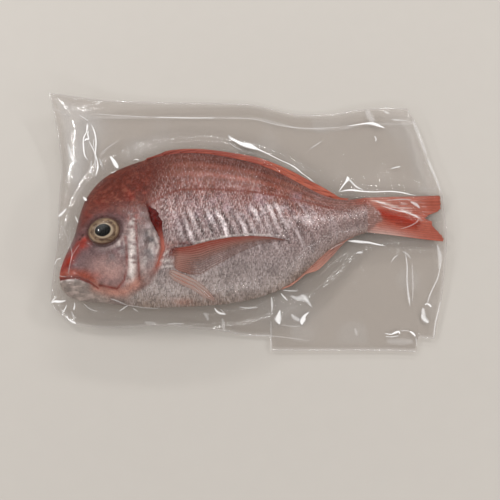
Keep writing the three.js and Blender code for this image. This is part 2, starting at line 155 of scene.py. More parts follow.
# The bag's four edges: plan position and height.
BAG_TOP = np.array([
    (-171.7, 114.8, 26), (-148.9, 115.7, 17), (-130, 116.1, 11), (-112, 116.1, 8), (-71, 116.3, 5),
    (-30, 116.3, 4), (7, 115.5, 3), (30, 109.9, 3), (46, 105.7, 3), (66, 104.7, 3), (85, 105.2, 4),
    (101, 108, 5), (130, 109.7, 7), (150.6, 108.4, 8),
])
BAG_RIGHT = np.array([
    (150.6, 108.4, 8), (157.5, 93.1, 8), (162.7, 73.4, 8), (166.5, 54.1, 8), (172.6, 38, 8),
    (176.2, 25.7, 8), (177.3, 5, 8), (177.2, -14.9, 8), (175.8, -28, 7.5), (171.7, -57, 5),
    (168.5, -72, 4), (161.5, -100.7, 3),
])
BAG_BOTTOM = np.array([
    (161.5, -100.7, 3), (124.6, -98.6, 2.5), (24.6, -98.4, 3), (-1.4, -97.2, 3), (-14, -94.8, 4),
    (-47.5, -91.6, 5), (-72, -90.6, 6), (-110.2, -92.4, 6), (-139.7, -88.8, 6), (-153.3, -80.2, 5),
    (-162, -70.8, 5),
])
BAG_LEFT = np.array([
    (-162, -70.8, 5), (-161.4, -55, 7), (-160.2, -38, 9), (-159, -16.5, 9), (-160.5, 5.9, 8),
    (-160.7, 28, 9), (-160.2, 43.6, 11), (-161.4, 62.5, 14), (-165.1, 85.1, 19), (-171.7, 114.8, 26),
])
TAB = (24.6, 146.7, 12.3)


# Numbers and fields.


def smooth(low, high, x):
    """Smooth step: 0 below low, 1 above high, 3t squared minus 2t cubed between."""
    t = np.clip((x - low) / (high - low), 0.0, 1.0)
    return t * t * (3 - 2 * t)


def mix(a, b, t):
    """Straight mixture of a and b, at share t of b."""
    return a + (b - a) * t


def spline(points, t):
    """Uniform Catmull-Rom curve through points; t counts the points."""
    points = np.asarray(points, float)
    last = len(points) - 1
    i = np.clip(np.floor(t).astype(int), 0, last - 1)
    f = (t - i)[..., None]
    p1 = points[i]
    p2 = points[i + 1]
    v0 = (p2 - points[np.maximum(i - 1, 0)]) / 2
    v1 = (points[np.minimum(i + 2, last)] - p1) / 2
    return ((2 * p1 - 2 * p2 + v0 + v1) * f + (3 * p2 - 3 * p1 - 2 * v0 - v1)) * f * f + v0 * f + p1


def nearest_on(a, b, x, y):
    """The share along the stretch from a to b that is nearest to each point, and how far off it is."""
    ax, ay = a
    bx, by = b
    length = max(1e-6, (bx - ax) ** 2 + (by - ay) ** 2)
    t = np.clip(((x - ax) * (bx - ax) + (y - ay) * (by - ay)) / length, 0, 1)
    return t, np.hypot(x - ax - t * (bx - ax), y - ay - t * (by - ay))


def path_distance(path, x, y):
    """Shortest distance in plan from each point to a path of straight stretches."""
    return np.minimum.reduce([nearest_on(a, b, x, y)[1] for a, b in zip(path[:-1], path[1:])])


def stroke(path, x, y, width):
    """Soft line: the bell curve of the distance to a path."""
    return np.exp(-((path_distance(np.asarray(path, float), x, y) / width) ** 2))


def spot(x, y, cx, cy, rx, ry, turn=0.0):
    """Soft oval: the bell curve of the distance from its centre in radii, turned by degrees."""
    c = math.cos(math.radians(turn))
    s = math.sin(math.radians(turn))
    dx = (x - cx) * c + (y - cy) * s
    dy = (y - cy) * c - (x - cx) * s
    return np.exp(-((dx / rx) ** 2) - (dy / ry) ** 2)


def noise(x, y, size, seed):
    """Smooth noise from -1 to 1: random values on a square lattice, eased between its corners."""
    rng = np.random.default_rng(seed)
    table = rng.uniform(-1, 1, (64, 64))
    u = x / size + 1000.0
    v = y / size + 1000.0
    i = np.floor(u).astype(int)
    j = np.floor(v).astype(int)
    fu = smooth(0, 1, u - i)
    fv = smooth(0, 1, v - j)
    a = mix(table[i % 64, j % 64], table[(i + 1) % 64, j % 64], fu)
    b = mix(table[i % 64, (j + 1) % 64], table[(i + 1) % 64, (j + 1) % 64], fu)
    return mix(a, b, fv)


class Places:
    """A grid of plan points, with the soft fields above read at them."""

    def __init__(self, x, y):
        self.x = x
        self.y = y

    def noise(self, size, seed):
        return noise(self.x, self.y, size, seed)

    def blots(self, low, high, size, seed):
        """Noise cut to soft-edged blots from 0 to 1."""
        return smooth(low, high, self.noise(size, seed))

    def spot(self, *oval):
        return spot(self.x, self.y, *oval)

    def stroke(self, path, width):
        return stroke(path, self.x, self.y, width)


def axis_height(x):
    """Height of the body's middle plane: level along the trunk, drooping to the tail."""
    trunk = mix(BODY_AXIS_HEIGHT, TAIL_ROOT_HEIGHT, smooth(DROOP_START_X, TAIL_ROOT_X, x))
    return mix(trunk, TAIL_TIP_HEIGHT, smooth(TAIL_ROOT_X - 10, TAIL_UPPER[0], x))


def fullness(s):
    """Share of the half thickness along a section line, 0 at both ends and 1 where it is thickest."""
    up = np.clip((s - THICKEST_AT) / (1 - THICKEST_AT), 0, 1)
    down = np.clip((THICKEST_AT - s) / THICKEST_AT, 0, 1)
    back = np.maximum(0, 1 - up ** BACK_EDGE[0]) ** BACK_EDGE[1]
    belly = np.maximum(0, 1 - down ** BELLY_EDGE[0]) ** BELLY_EDGE[1]
    return np.where(s > THICKEST_AT, back, belly)


def pressed(z):
    """Heights of the underside, flat at zero with a soft turn upward."""
    turn = (z + REST_TURN) ** 2 / (4 * REST_TURN)
    return np.where(z > REST_TURN, z, np.where(z < -REST_TURN, 0, turn))


def gill_x(y):
    """X of the gill cover's rear edge at height y."""
    return np.interp(-y, -GILL_EDGE[:, 1], GILL_EDGE[:, 0])


def lateral_y(x):
    """Y of the lateral line at x."""
    return np.interp(x, LATERAL_LINE[:, 0], LATERAL_LINE[:, 1])


def edge_y(x, back):
    """Y of the body's back or belly edge at x, read off the section points."""
    t = np.linspace(1, LAST, 800)
    line = spline(SECTIONS, t)
    cols = (0, 1) if back else (2, 3)
    return np.interp(x, line[:, cols[0]], line[:, cols[1]])


def flank_relief(x, y, behind):
    """Height added to the flank: eye ball, gill cover with its slit, jaw plates, ridges and muscle bands."""
    r = np.hypot((x - EYE_CENTRE[0]) / EYE_RADII[0], (y - EYE_CENTRE[1]) / EYE_RADII[1])
    height = 2.3 * np.sqrt(np.clip(1 - (r / 1.03) ** 2, 0, 1))
    height -= 1.3 * np.exp(-(((r - 1.08) / 0.09) ** 2))
    height += 1.0 * np.exp(-(((r - 1.3) / 0.14) ** 2)) * smooth(-30, 0, y + 0.3 * (x + 113))
    gate = smooth(-76, -60, y) * (1 - smooth(0, 9, y))
    height += gate * 2.0 * np.where(behind < 0, np.exp(-((behind / 12) ** 2)), 0)
    slit = np.where(behind > 0, np.exp(-((behind / 4.5) ** 2)), 0)
    height -= 1.5 * gate * slit * (0.35 + 0.65 * smooth(-52, -36, y))
    height -= 1.5 * stroke(MOUTH, x, y, 1.3)
    height += 0.9 * stroke(JAW_PLATE, x, y, 2.6) + 0.8 * stroke(MOUTH + (1, -3.6), x, y, 2.2)
    height -= 0.7 * stroke(JAW_PLATE + (2.5, 4.2), x, y, 1.2) + 0.6 * stroke(MOUTH + (2, -8), x, y, 1.2)
    height -= 0.9 * stroke(PREOPERCLE, x, y, 1.2)
    height += 0.7 * stroke(PREOPERCLE + (-3.2, 1), x, y, 2.4)
    height -= 0.6 * stroke(CHEEK_RIDGE, x, y, 1.3)
    height += 0.6 * stroke(CHEEK_RIDGE + (-2.8, 0), x, y, 2.2)
    height += 0.5 * stroke(((-142, -33), (-133, -14), (-129, 6)), x, y, 3)
    height -= 1.1 * (spot(x, y, -129.5, -21, 1.3, 0.9, 60) + spot(x, y, -132, -24, 0.8, 0.8))
    pitch = (x + 0.43 * y) / 7.3
    bands = smooth(-62, -40, x) * (1 - smooth(35, 75, x)) * smooth(-38, -12, y) * (1 - smooth(8, 26, y))
    ridge = np.sin(2 * np.pi * (pitch + 0.22 * noise(x, y, 13, 4)))
    height += 0.42 * bands * ridge * (0.75 + 0.45 * noise(x, y, 15, 6))
    height += 0.35 * noise(x, y, 22, 8) + 0.16 * noise(x, y, 7, 9)
    return height


def body_point(k, s, side):
    """A point of the body: k counts the sections, s runs from belly to back, side is 1 on top, -1 below.

    The section line is straight, bent near the gill opening so that one ring follows the gill cover's edge.
    """
    line = spline(SECTIONS, k)
    x = mix(line[..., 2], line[..., 0], s)
    y = mix(line[..., 3], line[..., 1], s)
    gill_line = spline(SECTIONS, np.array(GILL_AT))
    straight = np.interp(y, (gill_line[3], gill_line[1]), (gill_line[2], gill_line[0]))
    bulge = (gill_x(y) - straight) * (1 - smooth(4, 44, y)) * smooth(-78, -66, y)
    x = x + bulge * np.exp(-(((k - GILL_AT) / 1.5) ** 2))
    behind = x - gill_x(y)
    full = fullness(s)
    z = axis_height(x) + side * (line[..., 4] * full + flank_relief(x, y, behind) * full ** 1.5)
    return x, y, z if side > 0 else pressed(z)


def tail_point(w, s, side):
    """A point of the tail fin: w runs from root to forked edge, s from the lower to the upper lobe."""
    root_x, root_y, _ = body_point(np.full_like(s, LAST), s, side)
    ragged = 0.35 * np.sin(s * 61) + 0.3 * np.sin(s * 143 + 1)
    x = mix(root_x, np.interp(s, TAIL_EDGE[:, 0], TAIL_EDGE[:, 1]) + ragged, w)
    y = mix(root_y, np.interp(s, TAIL_EDGE[:, 0], TAIL_EDGE[:, 2]), w)
    half = mix(5 * fullness(s), 0.9 * (1 - s * (1 - s)) * (1 - w * 0.4), smooth(0, 0.4, w)) + 0.05
    rays = 0.16 * np.abs(np.sin(np.pi * s * TAIL_RAYS)) * smooth(0.1, 0.4, w)
    fold = 3.0 * smooth(0, 0.25, w) * stroke(TAIL_FOLD, x, y, 3.4)
    fold += 1.2 * smooth(0.1, 0.4, w) * stroke(TAIL_CREASE, x, y, 3.0)
    z = axis_height(x) + side * (half + rays) + (fold if side > 0 else 0)
    return x, y, z if side > 0 else np.maximum(0.05, z)


def fin_height(fin, t):
    """How far a folded fin stands out at share t of its length."""
    rise = fin[2] + (fin[3] - fin[2]) * smooth(0.3, fin[4], t)
    return rise * smooth(0, 0.12, t) * (1 - smooth(fin[4], 1, t) ** 1.5)


# Meshes.


def finish_mesh(name, points, faces, material, uv=None, attributes=()):
    """Faces are quads. One that names a point twice in a row is a triangle, and one with less is left out.
    """
    faces = np.asarray(faces, np.int32)
    kept = faces != np.roll(faces, 1, axis=1)
    whole = kept.sum(1) > 2
    faces, kept = faces[whole], kept[whole]
    corners = kept.sum(1)
    mesh = bpy.data.meshes.new(name)
    mesh.vertices.add(len(points))
    mesh.vertices.foreach_set("co", ((np.asarray(points, float) - ORIGIN) * MM).astype(np.float32).ravel())
    mesh.loops.add(int(corners.sum()))
    mesh.loops.foreach_set("vertex_index", faces[kept])
    mesh.polygons.add(len(faces))
    mesh.polygons.foreach_set("loop_start", (np.cumsum(corners) - corners).astype(np.int32))
    mesh.update(calc_edges=True)
    mesh.validate()
    mesh.polygons.foreach_set("use_smooth", np.ones(len(mesh.polygons), bool))
    if uv is not None:
        layer = mesh.uv_layers.new(name="UVMap")
        index = np.empty(len(mesh.loops), np.int32)
        mesh.loops.foreach_get("vertex_index", index)
        layer.data.foreach_set("uv", np.asarray(uv, np.float32)[index].ravel())
    for title, values in attributes:
        values = np.asarray(values, np.float32)
        kind, field = ("FLOAT", "value") if values.ndim == 1 else ("FLOAT_COLOR", "color")
        mesh.attributes.new(title, kind, "POINT").data.foreach_set(field, values.ravel())
    mesh.materials.append(material)
    piece = bpy.data.objects.new(name, mesh)
    bpy.context.scene.collection.objects.link(piece)
    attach(piece, BODY)
    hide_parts(NODE)
    return piece


def point_list(x, y, z):
    """Grids of coordinates as one list of points."""
    return np.stack(np.broadcast_arrays(x, y, z), -1).reshape(-1, 3)


def grid_faces(rows, cols, wrap=False):
    """Quads of a grid of rows by cols points, its columns joined round when wrap is set."""
    i = np.arange(rows - 1)[:, None]
    j = np.arange(cols if wrap else cols - 1)[None, :]
    k = (j + 1) % cols
    corners = (i * cols + j, i * cols + k, (i + 1) * cols + k, (i + 1) * cols + j)
    return np.stack(np.broadcast_arrays(*corners), -1).reshape(-1, 4)


def fan(ring, tip):
    """Triangles from each stretch of a closed ring of points to one tip, as quads that name the tip twice."""
    tips = np.full(len(ring), tip)
    return np.stack([ring, np.roll(ring, -1), tips, tips], -1)


def capped_faces(rows, cols, far_tip=True):
    """Faces of rows of closed rings, and fans that close the ends at the points after the grid's own."""
    ring = np.arange(cols)
    faces = [grid_faces(rows, cols, wrap=True), fan(ring, rows * cols)[:, ::-1]]
    if far_tip:
        faces.append(fan(ring + (rows - 1) * cols, rows * cols + 1))
    return np.concatenate(faces)


def with_tips(points, cols):
    """Adds the middle of the first and of the last ring to a list of ringed points."""
    return np.concatenate([points, [points[:cols].mean(0), points[-cols:].mean(0)]])


def sheet_faces(rows, cols):
    """Faces of an upper grid, of a lower grid whose points follow it, and of the edge between them."""
    n = rows * cols
    upper = grid_faces(rows, cols)
    ring = np.concatenate([
        np.arange(cols - 1),
        np.arange(rows - 1) * cols + cols - 1,
        n - 1 - np.arange(cols - 1),
        (rows - 1 - np.arange(rows - 1)) * cols,
    ])
    following = np.roll(ring, -1)
    edge = np.stack([ring, following, following + n, ring + n], -1)
    return np.concatenate([upper[:, ::-1], upper + n, edge])


def tube(path, radius, sides):
    """A closed tube along a path: rings of points square to it, each end drawn to a point."""
    along = np.gradient(path, axis=0)
    along /= np.linalg.norm(along, axis=1, keepdims=True) + 1e-9
    side = np.cross(along, (0, 0, 1.0))
    side /= np.linalg.norm(side, axis=1, keepdims=True) + 1e-9
    up = np.cross(side, along)
    turn = np.linspace(0, 2 * np.pi, sides, endpoint=False)
    ring = np.cos(turn)[None, :, None] * side[:, None] + np.sin(turn)[None, :, None] * up[:, None]
    points = (path[:, None] + ring * radius[:, None, None]).reshape(-1, 3)
    return np.concatenate([points, [path[0], path[-1]]]), capped_faces(len(path), sides)[:, ::-1]


def join(parts):
    """Joins several sets of points and quads into one."""
    starts = np.cumsum([0] + [len(points) for points, _ in parts[:-1]])
    faces = [part[1] + start for part, start in zip(parts, starts)]
    return np.concatenate([points for points, _ in parts]), np.concatenate(faces)


# Shader expressions.


class Value:
    """A shader socket that can be used in Python arithmetic: each operation adds its Math node."""

    def __init__(self, tree, socket):
        self.tree = tree
        self.socket = socket

    def math(self, operation, *others, clamp=False):
        node = self.tree.nodes.new("ShaderNodeMath")
        node.operation = operation
        node.use_clamp = clamp
        for place, value in enumerate((self, *others)):
            connect(self.tree, node.inputs[place], value)
        return Value(self.tree, node.outputs[0])

    def __add__(self, other):
        return self.math("ADD", other)

    __radd__ = __add__

    def __mul__(self, other):
        return self.math("MULTIPLY", other)

    __rmul__ = __mul__

    def __sub__(self, other):
        return self.math("SUBTRACT", other)

    def __rsub__(self, other):
        return (self * -1.0) + other

    def __truediv__(self, other):
        return self.math("DIVIDE", other)

    def __pow__(self, other):
        return self.math("POWER", other)

    def below(self, other):
        return self.math("LESS_THAN", other)

    def above(self, other):
        return self.math("GREATER_THAN", other)

    def least(self, other):
        return self.math("MINIMUM", other)

    def most(self, other):
        return self.math("MAXIMUM", other)

    def clip(self):
        return self.math("MULTIPLY", 1.0, clamp=True)

    def ramp(self, low, high):
        """Smooth step from low to high."""
        node = self.tree.nodes.new("ShaderNodeMapRange")
        node.interpolation_type = "SMOOTHSTEP"
        connect(self.tree, node.inputs[0], self)
        node.inputs[1].default_value = low
        node.inputs[2].default_value = high
        return Value(self.tree, node.outputs[0])


def connect(tree, target, value):
    """Links a socket or sets a plain value on it."""
    if isinstance(value, Value):
        tree.links.new(value.socket, target)
    elif isinstance(value, bpy.types.NodeSocket):
        tree.links.new(value, target)
    else:
        target.default_value = value


class Shader:
    """A material's node tree with one method that adds any node."""

    def __init__(self, name):
        self.material = bpy.data.materials.new(name)
        self.material.use_nodes = True
        self.tree = self.material.node_tree
        self.tree.nodes.clear()
        self.output = self.tree.nodes.new("ShaderNodeOutputMaterial")

    def node(self, kind, settings=None, out=0, **inputs):
        """Adds a node, sets its settings first, then its inputs by name, and gives one output."""
        node = self.tree.nodes.new(kind)
        for key, value in (settings or {}).items():
            setattr(node, key, value)
        for key, value in inputs.items():
            name = key.replace("_", " ")
            target = node.inputs[int(name)] if name.isdigit() else node.inputs[name]
            connect(self.tree, target, value)
        return Value(self.tree, node.outputs[out])

    def mix_colour(self, a, b, factor, blend="MIX"):
        """Mix node on colours."""
        node = self.tree.nodes.new("ShaderNodeMix")
        node.data_type = "RGBA"
        node.blend_type = blend
        connect(self.tree, node.inputs[0], factor)
        connect(self.tree, node.inputs[6], a)
        connect(self.tree, node.inputs[7], b)
        return Value(self.tree, node.outputs[2])

    def attribute(self, name, out=0):
        return self.node("ShaderNodeAttribute", {"attribute_name": name}, out=out)

    def object_noise(self, scale, detail=2.0, roughness=0.5):
        place = self.node("ShaderNodeTexCoord", out=3)
        return self.node("ShaderNodeTexNoise", Vector=place, Scale=scale, Detail=detail, Roughness=roughness)

    def bump(self, height, strength, distance, normal=None):
        node = self.tree.nodes.new("ShaderNodeBump")
        connect(self.tree, node.inputs["Strength"], strength)
        connect(self.tree, node.inputs["Distance"], distance)
        connect(self.tree, node.inputs["Height"], height)
        if normal is not None:
            connect(self.tree, node.inputs["Normal"], normal)
        return Value(self.tree, node.outputs[0])

    def surface(self, shader):
        self.tree.links.new(shader.socket, self.output.inputs["Surface"])
        return self.material


def scale_pattern(shader):
    """Overlapping scales from the UV map, whose unit is one scale's pitch along and one row across.

    Columns of scales stand half a pitch apart, every second one shifted by a row. Each scale's rear edge
    is an arc, and the scale seen at a point is the one whose edge lies next behind it.
    Gives the distance to that edge in pitches, the place across the scale and a random number for each one.
    """
    split = shader.node("ShaderNodeSeparateXYZ", Vector=shader.node("ShaderNodeUVMap", {"uv_map": "UVMap"}))
    along = split + (shader.object_noise(210.0, 2.0, 0.5) - 0.5) * 0.5
    across = Value(shader.tree, split.socket.node.outputs[1])
    across = across + (shader.object_noise(180.0, 2.0, 0.5) - 0.5) * 0.5
    first = (along * 2.0).math("CEIL")
    best = None
    for step in range(4):
        column = first + float(step)
        parity = column.math("MODULO", 2.0).math("ABSOLUTE")
        row = ((across - parity) * 0.5).math("ROUND") * 2.0 + parity
        off = across - row
        arc = (38.4 - (off * 5.4) ** 2.0).math("SQRT") / 3.07 - 2.018
        gap = column * 0.5 + arc - along
        gap = gap + gap.below(0.0) * 10.0
        if best is None:
            best, col, line = gap, column, row
        else:
            nearer = gap.below(best)
            col = col + nearer * (column - col)
            line = line + nearer * (row - line)
            best = best.least(gap)
    spot_id = shader.node("ShaderNodeCombineXYZ", X=col, Y=line, Z=0.0)
    random = shader.node("ShaderNodeTexWhiteNoise", {"noise_dimensions": "2D"}, Vector=spot_id)
    return best, (across - line).math("ABSOLUTE"), random


def skin_material(colours):
    """Wet scaled skin: painted colour, pale rear rims and bright dashes that are partly the scales' own
    silver and partly painted glints, painted shade where the next scale lies over and between the dashes, a
    tint of its own on each scale, fine mottling.
    """
    sh = Shader("fish_skin_wet")
    gap, off, random = scale_pattern(sh)
    scales = sh.attribute("scales", out=2)
    silver = sh.attribute("silver", out=2)
    paint = sh.attribute("paint", out=0)
    uv = sh.node("ShaderNodeUVMap", {"uv_map": "UVMap"})
    tall = sh.node("ShaderNodeMapping", Vector=uv, Scale=(1.05, 0.55, 1.0))
    hatch = sh.node("ShaderNodeTexNoise", Vector=tall, Scale=3.5, Detail=2.0, Roughness=0.6)
    grain = sh.object_noise(900.0, 3.0, 0.65)
    mottle = sh.object_noise(150.0, 4.0, 0.6)
    patch = sh.object_noise(55.0, 3.0, 0.6)
    rim = (1.0 - gap.ramp(0.05, 0.42)) * (1.0 - off.ramp(0.15, 0.85)) * scales
    root = gap.ramp(0.45, 0.95) * scales
    dash = hatch.ramp(0.50, 0.66) * scales
    dark = (1.0 - hatch.ramp(0.34, 0.50)) * scales
    depth = silver * 0.75 + 0.25
    light = (random - 0.5) * scales * 0.7 + (mottle - 0.5) * 0.9 + (patch - 0.5) * 0.6
    light = light * depth + (grain - 0.5) * 1.15 + 1.0
    bright = sh.node("ShaderNodeCombineXYZ", X=light, Y=light, Z=light)
    colour = sh.mix_colour(paint, bright, 1.0, "MULTIPLY")
    # Painted shade: darker where the next scale lies over its root, and in the grooves between the dashes.
    colour = sh.mix_colour(colour, (*colours.scale_shade, 1.0), (root * 0.30 + dark * 0.50) * depth)
    # Painted glints: the pale rear rims and bright dashes, partly the scales' own silver and partly painted
    # highlight.
    glitter = (rim * (random * 1.6 - 0.2) * 0.5 + dash * (patch * 2.2 - 0.45)).clip()
    colour = sh.mix_colour(colour, (*colours.scale_rim_glint, 1.0), glitter * (silver * 0.55 + 0.08))
    height = ((1.0 - gap.clip()) * 0.8 + hatch) * scales
    normal = sh.bump(height, 0.75, 0.0005)
    normal = sh.bump(grain, 0.5, 0.0004, normal)
    wet = (dash * silver * 0.5 + 0.05).clip()
    skin = sh.node(
        "ShaderNodeBsdfPrincipled", Base_Color=colour, Roughness=0.42 - dash * 0.12, Normal=normal,
        Metallic=glitter * silver * 0.5, Coat_Weight=wet,
    )
    skin.socket.node.inputs["Coat Roughness"].default_value = 0.2
    skin.socket.node.inputs["Specular IOR Level"].default_value = 0.1
    return sh.surface(skin)


def fin_material(name, rays, red=None, pale=None, clear=False, painted=False):
    """Fin: rays along the UV's first axis, stained membrane between, clearer where the clear attribute says.

    A painted fin takes its colour from the paint attribute, and its rays only lighten and darken it.
    """
    sh = Shader(name)
    split = sh.node("ShaderNodeSeparateXYZ", Vector=sh.node("ShaderNodeUVMap", {"uv_map": "UVMap"}))
    across = Value(sh.tree, split.socket.node.outputs[1])
    ray = ((across * float(rays) * 2 * math.pi).math("SINE") * 0.5 + 0.5) ** 2.0
    stain = sh.object_noise(260.0, 3.0, 0.6)
    if painted:
        light = (stain - 0.5) * 0.5 + (ray - 0.4) * 0.25 + 1.0
        light = sh.node("ShaderNodeCombineXYZ", X=light, Y=light, Z=light)
        colour = sh.mix_colour(sh.attribute("paint", out=0), light, 1.0, "MULTIPLY")
    else:
        share = (sh.attribute("wash", out=2) + (stain - 0.5) * 0.5 + (ray - 0.4) * 0.35).clip()
        colour = sh.mix_colour((*red, 1.0), (*pale, 1.0), share)
    normal = sh.bump(ray, 0.45, 0.0004)
    normal = sh.bump(stain, 0.3, 0.0003, normal)
    skin = sh.node(
        "ShaderNodeBsdfPrincipled", Base_Color=colour, Roughness=stain * 0.2 + 0.3, Normal=normal,
    )
    skin.socket.node.inputs["Coat Weight"].default_value = 0.06
    skin.socket.node.inputs["Coat Roughness"].default_value = 0.2
    skin.socket.node.inputs["Specular IOR Level"].default_value = 0.12
    if not clear:
        return sh.surface(skin)
    see = sh.attribute("clear", out=2)
    through = sh.node("ShaderNodeBsdfTransparent")
    factor = (1.0 - see + (ray - 0.35) * 0.3 * see.above(0.02)).clip()
    mixed = sh.node("ShaderNodeMixShader", **{"0": factor, "1": through, "2": skin})
    return sh.surface(mixed)


def eye_material(colours):
    """Eye: clouded dark pupil, pale ring, olive iris and gold outer ring, by distance from the centre."""
    sh = Shader("fish_eye_clouded")
    uv = sh.node("ShaderNodeUVMap", {"uv_map": "UVMap"})
    split = sh.node("ShaderNodeSeparateXYZ", Vector=uv)
    u = split - 0.5
    v = Value(sh.tree, split.socket.node.outputs[1]) - 0.5
    cloud = sh.object_noise(260.0, 4.0, 0.65)
    fine = sh.object_noise(1100.0, 2.0, 0.6)
    waver = (cloud - 0.5) * 0.24
    pupil = (((u + 0.012) ** 2.0 + (v / 0.98) ** 2.0).math("SQRT")) * 2.0 + waver * 0.35
    radius = ((u * u + v * v).math("SQRT")) * 2.0 + waver
    right = ((u * 1.2 + v * 0.7).math("ABSOLUTE") * 1.9 + 0.02).clip()
    flecks = (cloud * 4.0 + fine - 2.1).clip() * 0.75
    colour = sh.mix_colour((*colours.iris, 1.0), (*colours.iris_gold, 1.0), flecks)
    colour = sh.mix_colour((*colours.iris_pale, 1.0), colour, (pupil - u * 0.20 + v * 0.10).ramp(0.52, 0.64))
    colour = sh.mix_colour((*colours.pupil, 1.0), colour, pupil.ramp(0.47, 0.515))
    gold = radius.ramp(0.76, 0.82) * (1.0 - radius.ramp(0.84, 0.90))
    colour = sh.mix_colour(colour, (*colours.iris_gold, 1.0), gold * right * (cloud * 2.0 - 0.2).clip())
    colour = sh.mix_colour(colour, (*colours.orbit, 1.0), radius.ramp(0.90, 1.0))
    ball = sh.node("ShaderNodeBsdfPrincipled", Base_Color=colour, Roughness=cloud * 0.15 + 0.38)
    ball.socket.node.inputs["Specular IOR Level"].default_value = 0.12
    return sh.surface(ball)


def flesh_material(name, base, dark, pale):
    """Wet bare tissue: soft red with darker clots, turning to the pale red where the wash attribute says."""
    sh = Shader(name)
    clot = sh.object_noise(420.0, 4.0, 0.6)
    colour = sh.mix_colour((*base, 1.0), (*dark, 1.0), clot.ramp(0.42, 0.66))
    colour = sh.mix_colour(colour, (*pale, 1.0), (sh.attribute("wash", out=2) * (clot + 0.5)).clip())
    normal = sh.bump(clot, 0.5, 0.0006)
    skin = sh.node("ShaderNodeBsdfPrincipled", Base_Color=colour, Roughness=0.3, Normal=normal)
    skin.socket.node.inputs["Coat Weight"].default_value = 0.05
    skin.socket.node.inputs["Coat Roughness"].default_value = 0.12
    skin.socket.node.inputs["Specular IOR Level"].default_value = 0.1
    return sh.surface(skin)


def film_material(bag):
    """Clear film: see-through, with a smooth sheet's gloss, more of it at grazing angles and on creases."""
    sh = Shader("bag_film_clear")
    crinkle = sh.object_noise(60.0, 4.0, 0.6)
    fine = sh.object_noise(420.0, 2.0, 0.5)
    print_through = sh.object_noise(620.0, 4.0, 0.65)
    crease = sh.attribute("crease", out=2)
    cling = sh.attribute("cling", out=2)
    haze = sh.attribute("haze", out=2)
    near = sh.attribute("near", out=2)
    arc = sh.attribute("arc", out=2)
    place = sh.node("ShaderNodeCombineXYZ", X=arc, Y=sh.attribute("away", out=2), Z=0.0)
    stretch = sh.node("ShaderNodeMapping", Vector=place, Scale=(0.22, 0.035, 1.0))
    pull = sh.node("ShaderNodeTexNoise", {"noise_dimensions": "2D"}, Vector=stretch, Scale=1.0, Detail=3.0)
    pull = 1.0 - ((pull - 0.5).math("ABSOLUTE") * 12.0).clip()
    vein = sh.object_noise(26.0, 2.0, 0.5)
    vein = 1.0 - ((vein - 0.5).math("ABSOLUTE") * 16.0).clip()
    loose = 1.0 - cling
    normal = sh.bump(crinkle, 0.28, 0.0020)
    normal = sh.bump(vein * loose, 0.16, 0.0012, normal)
    normal = sh.bump(pull * near, 0.4, 0.0014, normal)
    normal = sh.bump(fine * loose + print_through * cling * 3.0, 0.16, 0.0004, normal)
    facing = sh.node("ShaderNodeLayerWeight", out=1, Blend=0.5, Normal=normal)
    glint = sh.object_noise(480.0, 3.0, 0.6).ramp(0.60, 0.70) * cling
    base = loose * 0.016 + glint * 0.04 + 0.008
    factor = (facing ** 5.0 * 0.5 + crease * 0.015 + haze * 0.12 + base * bag.gloss).clip()
    through = sh.node("ShaderNodeBsdfTransparent", Color=(*bag.film_tint, 1.0))
    white = (0.95, 0.95, 0.95, 1.0)
    gloss = sh.node("ShaderNodeBsdfPrincipled", Base_Color=white, Roughness=0.10, Normal=normal)
    gloss.socket.node.inputs["Metallic"].default_value = 1.0
    mixed = sh.node("ShaderNodeMixShader", **{"0": factor, "1": through, "2": gloss})
    milk = sh.node("ShaderNodeBsdfPrincipled", Base_Color=(0.80, 0.78, 0.76, 1.0), Roughness=0.5)
    cloud = (haze * (crinkle * 0.8 + 0.6) * 0.34 + loose * 0.035).clip()
    mixed = sh.node("ShaderNodeMixShader", **{"0": cloud, "1": mixed, "2": milk})
    return sh.surface(mixed)


def glint_material():
    """Painted glint along a fold of the film: strongest on its middle line, fading to both sides and ends."""
    sh = Shader("bag_film_creased")
    split = sh.node("ShaderNodeSeparateXYZ", Vector=sh.node("ShaderNodeUVMap", {"uv_map": "UVMap"}))
    off = Value(sh.tree, split.socket.node.outputs[1])
    side = (1.0 - off * off).most(0.0)
    end = (split * (1.0 - split) * 9.0).clip()
    grain = sh.object_noise(500.0, 3.0, 0.6)
    factor = (sh.attribute("strength", out=2) * side * end * (grain * 0.9 + 0.75)).clip()
    through = sh.node("ShaderNodeBsdfTransparent")
    # Near-white surface of the painted glints.
    white = sh.node("ShaderNodeBsdfPrincipled", Base_Color=(0.93, 0.91, 0.90, 1.0), Roughness=0.35)
    mixed = sh.node("ShaderNodeMixShader", **{"0": factor, "1": through, "2": white})
    return sh.surface(mixed)


def floor_material(colours):
    """Plain pale surface with a faint even tooth."""
    sh = Shader("stage_surface")
    tooth = sh.object_noise(60.0, 3.0, 0.5)
    colour = sh.mix_colour((*colours.floor, 1.0), tuple(c * 0.97 for c in colours.floor) + (1.0,), tooth)
    return sh.surface(sh.node("ShaderNodeBsdfPrincipled", Base_Color=colour, Roughness=0.6))


# Colours of the skin.


class Paint:
    """Colours on a grid of places, laid one over the next."""

    def __init__(self, colour, colours):
        self.colour = colour
        self.colours = colours

    def lay(self, name, mask, share=1.0):
        """Covers with the colour of that name, wholly where mask times share is 1."""
        m = np.clip(mask * share, 0, 1)[..., None]
        self.colour = self.colour * (1 - m) + np.array(getattr(self.colours, name)) * m

    def shade(self, mask, by):
        """Lightens by that share where the mask is 1, or darkens where the product is below 0."""
        self.colour = self.colour * (1 + np.clip(mask, -1, 1)[..., None] * by)

    def finished(self):
        """The colours within range, with full cover as the fourth value."""
        cover = np.ones(self.colour.shape[:-1] + (1,))
        return np.concatenate([np.clip(self.colour, 0.004, 1), cover], -1)


